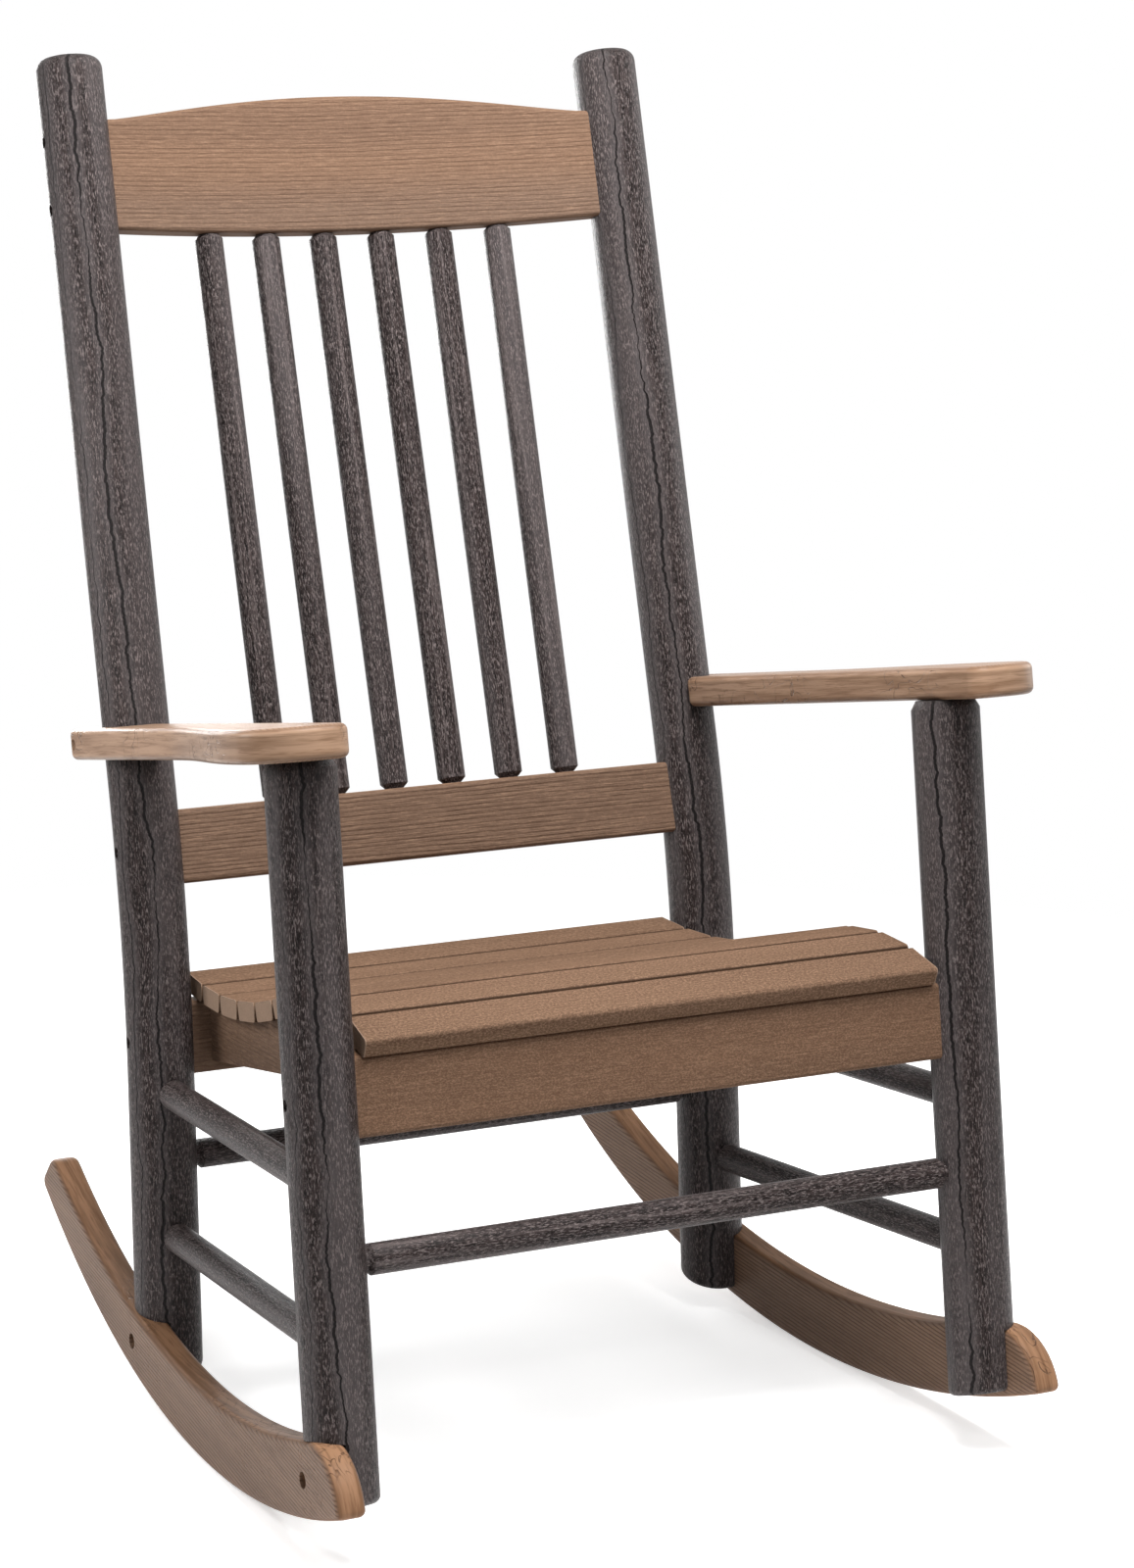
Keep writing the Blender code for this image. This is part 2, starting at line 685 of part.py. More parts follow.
# Rails
front_up = Vector((0, FRONT_Y_SLOPE, 1)).normalized()
rear_up = Vector((0, REAR_Y_SLOPE, 1)).normalized()
upper_up = Vector((0, math.sin(BACK_LEAN), math.cos(BACK_LEAN)))
joints = seat_joints()
nose = (joints[1] - joints[0]).normalized()
nose_under = joints[0] + Vector((0, nose.z, -nose.y)) * (SLAT_T + FIT)
apron_face = front_axis(APRON_Z).y - RAIL_LEAD
apron_top = nose_under.z + (apron_face + FRONT_Y_SLOPE * RAIL_H - nose_under.y) * nose.z / nose.y
apron_h = (apron_top - APRON_Z) / front_up.z - 0.001
apron_tilt = nose.z / nose.y - FRONT_Y_SLOPE
rails = (
    ("front_apron", "front", front_up, apron_h, front_axis(APRON_Z), apron_tilt),
    ("rear_seat_rail", "rear", rear_up, RAIL_H, rear_axis(REAR_RAIL_Z), 0.0),
    ("lower_back_rail", "rear", upper_up, RAIL_H, back_axis(LOWER_RAIL_D), 0.0),
)
rail_middle = RAIL_LEAD - RAIL_T / 2
post_side = math.sqrt(POST_R ** 2 - rail_middle ** 2)
boards = {}
for name, row, up, height, foot, tilt in rails:
    boards[name] = rail(name, up, height, foot, BOARD, RAIL_STOP, 0.0, tilt)
    housing = rail("cut_" + name + "_ends", up, height, foot, None, RAIL_STOP - FIT, FIT, tilt)
    for label, side in SIDES:
        cut(posts[label, row], housing)
        spot = foot + up * (height / 2) + Vector((0, -up.z, up.y)) * rail_middle
        surface = Vector((side * (foot.x + post_side), spot.y, spot.z))
        screw(label + "_" + name + "_screw", surface, Vector((-side, 0, 0)), SCREW_LENGTH, BORE_R,
              (posts[label, row], boards[name]))

boards["crest_rail"] = crest("crest_rail", BOARD, RAIL_STOP)
housing = crest("cut_crest_ends", None, RAIL_STOP - FIT, FIT)
crest_ahead = Vector((0, -upper_up.z, upper_up.y))
for label, side in SIDES:
    cut(posts[label, "rear"], housing)
    for tag, share in CREST_SCREWS:
        spot = back_axis(CREST_D + CREST_END_H * share) + crest_ahead * rail_middle
        surface = Vector((side * (spot.x + post_side), spot.y, spot.z))
        screw(label + "_crest_rail_" + tag + "_screw", surface, Vector((-side, 0, 0)), SCREW_LENGTH, BORE_R,
              (posts[label, "rear"], boards["crest_rail"]))

# Back spindles
middle_off = crest_ahead * rail_middle
crest_in = back_axis(CREST_D + CREST_END_H / 2).x - POST_R
for k in range(SPINDLE_COUNT):
    x = (k - (SPINDLE_COUNT - 1) / 2) * SPINDLE_PITCH
    low = back_axis(LOWER_RAIL_D + RAIL_H) + middle_off
    share = 1 - (x / crest_in) ** 2
    high = back_axis(CREST_D - CREST_DIP * share) + middle_off - crest_ahead * CREST_BOW * share
    low.x = x
    high.x = x
    piece, holes = stick(
        "back_spindle_" + str(k + 1), low, high, (2 * FIT, 2 * FIT),
        (-SPINDLE_TENON_LENGTH, -SPINDLE_TENON_LENGTH), SPINDLE_R, SPINDLE_TENON_R)
    cut(boards["lower_back_rail"], holes[0])
    cut(boards["crest_rail"], holes[1])

# Seat
for k in range(SLAT_COUNT):
    slat("seat_slat_%02d" % (k + 1), joints[k], joints[k + 1])
support_front = front_axis(APRON_Z + RAIL_H / 2).y + RAIL_T - RAIL_LEAD + 0.003
support_rear = rear_axis(REAR_RAIL_Z).y - RAIL_LEAD - FIT
for label, side in SIDES:
    piece, pockets = seat_support(label + "_seat_support", side, joints, support_front, support_rear)
    cut(boards["front_apron"], pockets[0])
    cut(boards["rear_seat_rail"], pockets[1])

# Rocker and arm screws
for label, side in SIDES:
    for tag, axis_of in (("front", front_axis), ("rear", rear_axis)):
        y = axis_of(ROCKER_SCREW_Z).y + ROCKER_SCREW_BACK
        z = (rocker_top(y) + on_arc(math.asin((y - ARC_Y) / ARC_R)).z) / 2
        surface = Vector((side * (ROCKER_IN_X + ROCKER_TOE * y + ROCKER_T), y, z))
        screw(label + "_rocker_" + tag + "_screw", surface, Vector((-side, 0, 0)), ROCKER_SCREW_LENGTH,
              ROCKER_BORE_R, (rockers[label], posts[label, tag]))
    middle = back_axis(arm_rear_d, side) + back_up(side) * (ARM_T / 2)
    for tag, turn in zip(("front", "rear"), ARM_SCREW_TURNS):
        outward = Vector((side * math.cos(turn), math.sin(turn), ARM_SLOPE * math.sin(turn)))
        to_side = (ARM_PRONG_X - abs(middle.x)) / math.cos(turn)
        to_end = (ARM_REAR_Y - middle.y) / math.sin(turn)
        surface = middle + outward * min(to_side, to_end)
        screw(label + "_armrest_" + tag + "_screw", surface, -outward, ARM_SCREW_LENGTH, BORE_R,
              (arms[label], posts[label, "rear"]))

# The origin goes on the floor, below the middle of the chair's length
tilt = stand.rotation_euler.to_matrix()
reaches = [(tilt @ v.co).y for piece in parts.objects if piece.type == "MESH" for v in piece.data.vertices]
centre = tilt @ on_arc(0, 0)
stand.location = (0, -(min(reaches) + max(reaches)) / 2, ARC_R - centre.z)
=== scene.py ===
"""Looks of the log rocking chair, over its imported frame.

Metres, +Z up, the chair faces -Y. Left is -X, as seen from the front. Every post, stick and
board is made in an upright frame in which the side stretchers are level, finer than its solid,
and is then tilted with the whole chair to the way it stands on the floor. The sunk screws stay
as they are in the frame and only get a material.
"""
import json
import math

import bpy
from mathutils import Matrix, Vector

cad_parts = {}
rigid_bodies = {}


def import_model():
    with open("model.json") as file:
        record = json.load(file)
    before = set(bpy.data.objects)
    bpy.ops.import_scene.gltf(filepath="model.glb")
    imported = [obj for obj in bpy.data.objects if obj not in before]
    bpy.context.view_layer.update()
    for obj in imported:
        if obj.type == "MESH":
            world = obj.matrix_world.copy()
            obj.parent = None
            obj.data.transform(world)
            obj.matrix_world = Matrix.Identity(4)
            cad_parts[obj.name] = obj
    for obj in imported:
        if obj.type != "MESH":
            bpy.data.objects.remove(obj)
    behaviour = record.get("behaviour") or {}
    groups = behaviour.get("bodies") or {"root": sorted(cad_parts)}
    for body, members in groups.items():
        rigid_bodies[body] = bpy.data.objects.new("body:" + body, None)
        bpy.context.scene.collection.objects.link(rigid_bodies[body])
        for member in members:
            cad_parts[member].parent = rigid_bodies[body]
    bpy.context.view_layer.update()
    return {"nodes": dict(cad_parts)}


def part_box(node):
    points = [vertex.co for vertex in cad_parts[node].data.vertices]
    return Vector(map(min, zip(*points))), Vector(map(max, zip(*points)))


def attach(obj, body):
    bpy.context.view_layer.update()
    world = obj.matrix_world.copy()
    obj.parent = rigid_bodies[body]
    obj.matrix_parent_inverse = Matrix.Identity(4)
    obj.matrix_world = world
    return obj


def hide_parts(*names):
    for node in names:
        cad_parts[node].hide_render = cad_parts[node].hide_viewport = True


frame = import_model()

# Fits, and how rounded edges are stepped
FIT = 0.0003
ROUND_STEPS = 5
RIM_STEPS = 8
BEVEL_STEPS = 5
BEVEL_ANGLE = math.radians(50)
SHARP_ANGLE = math.radians(35)

# Round stock
POST_R = 0.030
POST_SIDES = 64
POST_TOP_ROUND = 0.0115
FOOT_ROUND = 0.006
FOOT_Z = 0.03
FRONT_FOOT_LIFT = 0.0063
REAR_FOOT_LIFT = 0.0095
STRETCHER_R = 0.0133
SPINDLE_R = 0.013
STICK_SIDES = 40
END_CHAMFER = 0.004
STRETCHER_TENON_R = 0.0095
STRETCHER_TENON_STOP = 0.010
SPINDLE_TENON_R = 0.0085
SPINDLE_TENON_LENGTH = 0.020
SHOULDER_GAP = 0.0012

# Half the seat's width at its front, which the posts, rockers and arms follow
SEAT_HALF_W = 0.2728

# Post axes: place at floor level and slope per metre of height
POST_BESIDE_SEAT = 0.0359
FRONT_X = SEAT_HALF_W + POST_BESIDE_SEAT
FRONT_X_SLOPE = -0.0036
FRONT_Y = -0.2196
FRONT_Y_SLOPE = 0.0858
FRONT_MIDDLE_Z = 0.5
REAR_INSET = 0.0260
REAR_X = FRONT_X - REAR_INSET
REAR_X_SLOPE = -0.0085
REAR_Y = 0.2213
REAR_Y_SLOPE = 0.0096
BEND_Z = 0.4302
BEND_R = 1.400
BEND_STEPS = 20
BACK_LEAN = math.radians(11.7)
BACK_LENGTH = 0.790

# Boards
RAIL_H = 0.0665
RAIL_T = 0.0255
RAIL_LEAD = 0.0095
RAIL_STOP = 0.012
RAIL_ROUND = 0.004
APRON_Z = 0.3260
APRON_NOSE_GAP = 0.001
REAR_RAIL_Z = 0.2980
LOWER_RAIL_D = 0.0400
CREST_BELOW_TOP = 0.1585
CREST_D = BACK_LENGTH - CREST_BELOW_TOP
CREST_END_H = 0.1008
CREST_RISE = 0.0230
CREST_PEAK = 1.25
CREST_DIP = 0.0035
CREST_BOW = 0.0240
CREST_STATIONS = 41
SPINDLE_COUNT = 6
SPINDLE_PITCH = 0.0590

# Stretchers
SIDE_STRETCHER_Z = 0.2220
FRONT_STRETCHER_Z = 0.2254
REAR_STRETCHER_Z = 0.2223
STRETCHER_STEP = 0.0655

# Rockers
ROCKER_T = 0.0262
ROCKER_PAST_AXIS = 0.0063
ROCKER_IN_X = FRONT_X - ROCKER_PAST_AXIS
ROCKER_TOE = -0.0576
ROCKER_ROUND = 0.006
ARC_R = 0.8829
ARC_DROP = 0.0062
ARC_Y = -0.0031
ARC_Z = ARC_R - ARC_DROP
ROCKER_H = 0.0647
TOP_R_MORE = 0.0075
TOP_BACK = 0.0131
TOP_R = ARC_R + TOP_R_MORE
TOP_Y = ARC_Y + TOP_BACK
TOP_Z = ARC_Z + TOP_R_MORE + ROCKER_H
ROCKER_FRONT = math.radians(-18.8)
ROCKER_TAIL = math.radians(34.3)
NOSE_ROUND = 0.058
TAIL_RAKE = math.radians(15)
TAIL_ROUND = 0.020
TAIL_LOW_ROUND = 0.010
ARC_STEPS = 80
NOSE_STEPS = 20
TAIL_STEPS = 10
TAIL_LOW_STEPS = 8
TAIL_LOW_SKIP = 3
END_FIRST_TRY = 0.04
END_TRIES = 30
TOP_CLEAR = 0.004
LAP_REACH = 0.080

# Seat
SLAT_COUNT = 10
SLAT_PITCH = 0.0462
SLAT_GAP = 0.0030
SLAT_T = 0.0175
SLAT_DRAFT = 0.0013
SLAT_ROUND = 0.0035
PITCH_TRIES = 12
SEAT_FRONT_Y = -0.2071
SEAT_PEAK_Y = -0.1064
SEAT_PEAK_Z = 0.4285
SEAT_PEAK_R = 0.254
SEAT_VALLEY_Y = 0.1662
SEAT_VALLEY_Z = 0.3810
SEAT_TAPER = -0.0624
SUPPORT_INSET = 0.0125
SUPPORT_T = 0.025
SUPPORT_REAR_Z = 0.3085
SUPPORT_FRONT_Z = 0.3580
SUPPORT_FRONT_GAP = 0.003
SUPPORT_CLEAR = 0.003
TONGUE = 0.008
TONGUE_SHOULDER = 0.005
TONGUE_TOP_SHOULDER = 3 * TONGUE_SHOULDER

# Arms
ARM_Z = 0.6165
ARM_SLOPE = -0.1225
ARM_T = 0.028
ARM_ROUND = 0.006
ARM_LOBE_REACH = 0.0151
ARM_IN_REAR_X = REAR_X - ARM_LOBE_REACH
ARM_IN_SLOPE = -0.0505
ARM_PRONG_REACH = 0.0473
ARM_PRONG_X = REAR_X + ARM_PRONG_REACH
ARM_PADDLE_REACH = 0.0623
ARM_PADDLE_X = FRONT_X + ARM_PADDLE_REACH
ARM_S_REAR = 0.060
ARM_S_FRONT = -0.188
ARM_FRONT_Y = -0.2418
ARM_REAR_Y = 0.2960
ARM_OUT_CORNER = 0.050
ARM_IN_CORNER = 0.0175
ARM_END_CORNER = 0.012
ARM_S_STEPS = 32
ARM_OUT_STEPS = 16
ARM_IN_STEPS = 10
ARM_END_STEPS = 8
ARM_TRIES = 8
POST_CHAMFER = 0.0045
POST_CHAMFER_H = 0.008
ARM_TENON_R = 0.015
ARM_TENON_LENGTH = 0.016

# Screws
BORE_SIDES = 32
HEAD_H = 0.0035
BORE_R = 0.0051
BORE_DEPTH = 0.010
BORE_LEAD = 0.03
ROCKER_BORE_R = 0.0072
ROCKER_SCREW_Z = 0.055
ROCKER_SCREW_BACK = 0.008
CREST_SCREWS = (("lower", 0.21), ("upper", 0.82))
ARM_SCREW_TURNS = (math.radians(24), math.radians(52))

# How the chair stands: tilted back from the upright frame
REST_TILT = math.radians(4.5)

# How the grain runs in the rockers, where it starts in each piece, the pitch and sway of the boards'
# embossed lines, and how much of a slat's end is pale
CHORD = Vector((0, 1, 0.158))
GRAIN_SHIFT = 1.37
GRAIN_SPAN = 9.1
LINE_PITCH = 0.0043
LINE_SWAY = 13.0
ROUTED_PITCH = 0.0036
ROUTED_SWAY = 5.0
SLAT_END = 0.0015

# Cracks of the posts: the turn of each post that brings them to the front, then for each crack its
# side in degrees, waves per metre and half width, and for all of them how far they wander, how soft
# they end and how far the painted sheen beside them reaches
FRONT_TURN = {-1: math.radians(-11), 1: math.radians(-41)}
REAR_TURN = {-1: math.radians(-12), 1: math.radians(-17)}
CRACKS = ((-100, 6.0, 0.0016), (-148, 7.5, 0.0008), (10, 5.0, 0.0012), (110, 6.5, 0.0012))
CRACK_SWAY = 0.026
CRACK_RIPPLE = 0.012
CRACK_SOFT = 0.0007
CRACK_SIDE_SOFT = 0.004
CRACK_SHEEN_REACH = 0.010

# Noises of the materials, in waves per metre along the grain and in two directions across it
LOG_BAND = (1.2, 34, 34)
LOG_FIBRE = (70, 520, 520)
LOG_SPECK = (230, 920, 920)
LOG_STREAK = (4, 240, 240)
BOARD_CLOUD = (1.4, 26, 26)
BOARD_WAVE = (3, 18, 18)
BOARD_FADE = (12, 170, 170)
BOARD_DASH = (60, 800, 800)
BOARD_GRIT = (300, 480, 480)
ROUTED_CLOUD = (1.8, 34, 34)
ROUTED_FADE = (8, 130, 130)
ROUTED_DASH = (40, 600, 600)
KNOT = (42, 60, 42)
KNOT_FADE = (9, 9, 9)
STEEL_SCRATCH = 900.0

# Gloss and roughness, and how deep the bumps are
LOG_SHINE = 0.08
BOARD_SHINE = 0.06
BOARD_ROUGH = 0.58
LOG_BUMP = 0.0010
BOARD_BUMP = 0.0008
ROUTED_BUMP = 0.0007

# Colours
LOG_DARK = (0.006, 0.0042, 0.0040)
LOG_MID = (0.033, 0.0238, 0.0226)
# Painted sheen: a pale grey laid in soft bands along the posts and beside their cracks, in place of
# highlights
LOG_PAINTED_SHEEN = (0.082, 0.071, 0.071)
LOG_FLECK = (0.196, 0.161, 0.156)
LOG_CRACK = (0.004, 0.003, 0.003)
# Darker ends of the posts; at the front posts' shoulders under the arms this is painted shade
LOG_END_AND_SHADE = (0.012, 0.009, 0.008)
BOARD_PALE = (0.285, 0.180, 0.118)
BOARD_DARK = (0.068, 0.037, 0.023)
BOARD_EDGE = (0.175, 0.097, 0.057)
# Painted shade: a grey laid along the crest's lower edge
BOARD_LOW_SHADE = (0.130, 0.087, 0.064)
SLAT_FACE = (0.156, 0.0950, 0.0620)
SLAT_SHADE = (0.133, 0.081, 0.053)
SLAT_ENDS = (0.300, 0.215, 0.160)
# Painted shade: near black on the slats' sides in the gaps between them
SLAT_GAP_SHADE = (0.030, 0.017, 0.011)
ROUTED_CRACK = (0.050, 0.025, 0.015)
# Painted shade: a darker brown where a routed edge's rounding meets the flat face
ROUTED_RIM_SHADE = (0.085, 0.045, 0.027)
STEEL_DARK = (0.030, 0.028, 0.026)
STEEL_PALE = (0.085, 0.080, 0.074)

# Sockets of a Mix node that mixes colours
MIX_A = 6
MIX_B = 7
MIX_RESULT = 2


class Paint:
    """A material's nodes, with short names for the steps that the materials share."""

    def __init__(self, name):
        self.mat = bpy.data.materials.new(name)
        self.mat.use_nodes = True
        self.tree = self.mat.node_tree
        self.shader = self.tree.nodes["Principled BSDF"]
        self.grain = self.node("Attribute", {}, attribute_name="grain").outputs["Vector"]
        self.routed = self.node("Attribute", {}, attribute_name="routed").outputs["Fac"]

    def node(self, kind, inputs, **settings):
        """A new node, its inputs linked to sockets or set to values."""
        made = self.tree.nodes.new("ShaderNode" + kind)
        for key, value in settings.items():
            setattr(made, key, value)
        for key, value in inputs.items():
            if isinstance(value, bpy.types.NodeSocket):
                self.tree.links.new(value, made.inputs[key])
            else:
                made.inputs[key].default_value = value
        return made

    def noise(self, scale, detail=2.0, rough=0.5, warp=0.0):
        """Noise along and across the grain, scale in waves per metre."""
        spot = self.node("VectorMath", {0: self.grain, 1: scale}, operation="MULTIPLY").outputs[0]
        return self.node("TexNoise", {
            "Vector": spot, "Scale": 1.0, "Detail": detail, "Roughness": rough, "Distortion": warp,
        }).outputs["Fac"]

    def math(self, how, a, b=0.0):
        return self.node("Math", {0: a, 1: b}, operation=how).outputs[0]

    def step(self, value, low, high, top=1.0):
        """A smooth step that rises from 0 at low to top at high."""
        return self.node("MapRange", {
            "Value": value, "From Min": low, "From Max": high, "To Max": top,
        }, interpolation_type="SMOOTHSTEP").outputs[0]

    def line(self, value, middle, width):
        """A thin line wherever a value crosses a middle."""
        off = self.math("ABSOLUTE", self.math("SUBTRACT", value, middle))
        return self.math("SUBTRACT", 1.0, self.step(off, 0.0, width))

    def lines(self, across, pitch, wave, sway):
        """Parallel lines along the grain, swayed by a noise."""
        spot = self.node("SeparateXYZ", {0: self.grain}).outputs[across]
        phase = self.total((spot, 2 * math.pi / pitch), (wave, sway))
        return self.step(self.math("SINE", phase), -0.3, 1.0)

    def toward(self, y, z):
        """How far a point lies from the log's axis in one direction across it."""
        inputs = {0: self.grain, 1: (0, y, z)}
        return self.node("VectorMath", inputs, operation="DOT_PRODUCT").outputs["Value"]

    def crack(self, turn, waves, wide):
        """A long wavy crack on one side of a round log, fading here and there, and painted sheen along its
        sides.
        """
        off = self.toward(-math.sin(turn), math.cos(turn))
        near = self.toward(math.cos(turn), math.sin(turn))
        bend = self.noise((waves, 0, 0), 2)
        ripple = self.noise((8 * waves, 0, 0), 3, 0.7)
        sway = self.total((bend, CRACK_SWAY), (ripple, CRACK_RIPPLE))
        middle = self.math("SUBTRACT", sway, (CRACK_SWAY + CRACK_RIPPLE) / 2)
        gap = self.math("ABSOLUTE", self.math("SUBTRACT", off, middle))
        width = self.step(self.noise((waves, 30, 30), 2), 0.28, 0.58, wide)
        mark = self.step(self.math("SUBTRACT", width, gap), 0.0, CRACK_SOFT)
        # Painted sheen: a pale band along each side of the crack
        crack_sheen = self.step(gap, CRACK_SHEEN_REACH, 0.0)
        front = self.step(near, 0.0, CRACK_SIDE_SOFT)
        return self.math("MULTIPLY", mark, front), self.math("MULTIPLY", crack_sheen, front)

    def mix(self, share, a, b):
        """Colour a turned into colour b by a share."""
        made = self.node("Mix", {"Factor": share}, data_type="RGBA")
        for slot, colour in ((MIX_A, a), (MIX_B, b)):
            if isinstance(colour, bpy.types.NodeSocket):
                self.tree.links.new(colour, made.inputs[slot])
            else:
                made.inputs[slot].default_value = (*colour, 1)
        return made.outputs[MIX_RESULT]

    def total(self, *parts):
        """A sum of values, each times its weight."""
        so_far = self.math("MULTIPLY", *parts[0])
        for value, weight in parts[1:]:
            inputs = {0: value, 1: weight, 2: so_far}
            so_far = self.node("Math", inputs, operation="MULTIPLY_ADD").outputs[0]
        return so_far

    def set(self, **values):
        names = {
            "colour": "Base Color", "rough": "Roughness", "specular": "Specular IOR Level",
            "normal": "Normal", "metal": "Metallic",
        }
        for key, value in values.items():
            socket = self.shader.inputs[names[key]]
            if isinstance(value, bpy.types.NodeSocket):
                self.tree.links.new(value, socket)
            else:
                socket.default_value = value

    def bump(self, height, depth):
        return self.node("Bump", {"Height": height, "Strength": 1.0, "Distance": depth}).outputs[0]


def log_paint(name, cracks):
    """Dark poly log: fine fibres and pale flecks along it, soft bands of painted sheen, long thin wavy
    cracks with painted sheen beside them, and darker ends, which are painted shade where they sit under
    the arms.
    """
    p = Paint(name)
    band = p.noise(LOG_BAND)
    fibre = p.noise(LOG_FIBRE, 3, 0.65)
    fleck = p.step(p.noise(LOG_SPECK, 3, 0.65), 0.49, 0.66)
    colour = p.mix(p.step(fibre, 0.36, 0.66), LOG_DARK, LOG_MID)
    # Painted sheen in soft bands along the log
    colour = p.mix(p.step(band, 0.45, 0.72, 0.5), colour, LOG_PAINTED_SHEEN)
    colour = p.mix(p.math("MULTIPLY", fleck, 0.80), colour, LOG_FLECK)
    height = p.total((fibre, 0.8), (fleck, 0.3), (band, 0.6))
    if cracks:
        pairs = [p.crack(math.radians(turn), waves, wide) for turn, waves, wide in cracks]
        crack, crack_sheen = pairs[0]
        for mark, side in pairs[1:]:
            crack = p.math("MAXIMUM", crack, mark)
            crack_sheen = p.math("MAXIMUM", crack_sheen, side)
        # Painted sheen beside the cracks
        colour = p.mix(p.math("MULTIPLY", crack_sheen, 0.55), colour, LOG_PAINTED_SHEEN)
        colour = p.mix(p.math("MULTIPLY", crack, 0.92), colour, LOG_CRACK)
        height = p.total((crack, -2.2), (height, 1.0))
    else:
        streak = p.step(p.noise(LOG_STREAK), 0.50, 0.70, 0.30)
        colour = p.mix(streak, colour, LOG_FLECK)
    # The ends painted darker; under the arms this is painted shade
    colour = p.mix(p.math("MULTIPLY", p.routed, 0.6), colour, LOG_END_AND_SHADE)
    rough = p.math("ADD", p.total((fibre, 0.30)), 0.18)
    p.set(colour=colour, rough=rough, specular=LOG_SHINE, normal=p.bump(height, LOG_BUMP))
    return p.mat


def board_paint(name, face, shade, edge, lines, grit_share, low_shade=0.0, fine=1.0, shine=BOARD_SHINE):
    """Tan poly board: fine embossed lines along the grain, grit, and painted shade on the slats' sides in
    the gaps between them.

    low_shade is the share of painted shade, a grey, along a board's lower edge, and fine makes the grit
    finer.
    """
    p = Paint(name)
    wide = p.noise(BOARD_CLOUD)
    wave = p.noise(BOARD_WAVE)
    line = p.lines("Y", LINE_PITCH, wave, LINE_SWAY)
    line = p.math("MULTIPLY", line, p.step(p.noise(BOARD_FADE), 0.20, 0.65))
    dash = p.noise(BOARD_DASH, 2, 0.6)
    grit = p.noise([fine * waves for waves in BOARD_GRIT], 2, 0.75)
    streak = 1 - grit_share
    colour = p.mix(p.step(wide, 0.32, 0.70), face, shade)
    if low_shade:
        rise = p.math("ADD", p.node("SeparateXYZ", {0: p.grain}).outputs["Y"], p.total((wide, 0.02)))
        # Painted shade: grey along the board's lower edge
        colour = p.mix(p.step(rise, 0.065, 0.025, low_shade), colour, BOARD_LOW_SHADE)
    colour = p.mix(p.math("MULTIPLY", line, lines), colour, BOARD_DARK)
    colour = p.mix(p.step(dash, 0.50, 0.68, 0.36 * streak), colour, BOARD_DARK)
    colour = p.mix(p.step(dash, 0.48, 0.32, 0.34 * streak), colour, BOARD_PALE)
    colour = p.mix(p.step(grit, 0.47, 0.60, grit_share), colour, BOARD_DARK)
    colour = p.mix(p.step(grit, 0.49, 0.38, grit_share * 0.8), colour, BOARD_PALE)
    colour = p.mix(p.step(p.routed, 0.0, 1.0, 0.65), colour, edge)
    # Painted shade in the gaps between slats
    colour = p.mix(p.step(p.routed, 0.0, -1.0, 0.85), colour, SLAT_GAP_SHADE)
    height = p.total((line, -lines), (dash, -0.5 * streak), (grit, -0.2 - 0.9 * grit_share), (wide, 0.3))
    p.set(colour=colour, rough=BOARD_ROUGH, specular=shine, normal=p.bump(height, BOARD_BUMP))
    return p.mat


def routed_paint(name, face, face_dark, edge, edge_dark, across, along_edge, rough, shine):
    """A board whose faces are embossed and whose rounded edges are routed to warm bare colour, with a band
    of painted shade on the rounding next to the face.
    """
    p = Paint(name)
    wide = p.noise(ROUTED_CLOUD)
    line = p.lines(across, ROUTED_PITCH, wide, ROUTED_SWAY)
    line = p.math("MULTIPLY", line, p.step(p.noise(ROUTED_FADE), 0.0, 0.50))
    dash = p.noise(ROUTED_DASH, 3, 0.65)
    fine = p.noise([5 * waves for waves in along_edge], 3, 0.65)
    curl = p.noise([2 * waves for waves in along_edge], 3, 0.5, 0.35)
    knot = p.line(p.noise(KNOT, 2, 0.5, 1.2), 0.5, 0.016)
    crack = p.math("MULTIPLY", knot, p.step(p.noise(KNOT_FADE, 1), 0.50, 0.58))
    flat = p.mix(p.step(wide, 0.3, 0.75, 0.4), face, face_dark)
    flat = p.mix(p.math("MULTIPLY", line, 0.75), flat, face_dark)
    flat = p.mix(p.step(dash, 0.50, 0.70, 0.40), flat, face_dark)
    bare = p.mix(p.step(curl, 0.35, 0.70, 0.7), edge, edge_dark)
    bare = p.mix(p.step(fine, 0.46, 0.66, 0.75), bare, edge_dark)
    bare = p.mix(p.math("MULTIPLY", crack, 0.7), bare, ROUTED_CRACK)
    share = p.step(p.routed, 0.10, 0.40)
    # Painted shade: a darker band on the rounding near the face
    rim = p.line(p.routed, 0.30, 0.28)
    colour = p.mix(share, flat, bare)
    colour = p.mix(p.math("MULTIPLY", rim, 0.45), colour, ROUTED_RIM_SHADE)
    cover = p.math("SUBTRACT", 1.0, share)
    height = p.total((p.math("MULTIPLY", line, cover), -0.4), (fine, 0.1), (crack, -1.0), (wide, 0.3))
    p.set(colour=colour, rough=rough, specular=shine, normal=p.bump(height, ROUTED_BUMP))
    return p.mat


def steel_paint(name):
    """Dark steel of the screws' heads, finely scratched."""
    p = Paint(name)
    spot = p.node("NewGeometry", {}).outputs["Position"]
    scratch = p.node("TexNoise", {"Vector": spot, "Scale": STEEL_SCRATCH, "Detail": 3.0}).outputs["Fac"]
    colour = p.mix(scratch, STEEL_DARK, STEEL_PALE)
    p.set(colour=colour, metal=0.9, rough=p.step(scratch, 0.0, 1.0, 0.6))
    return p.mat


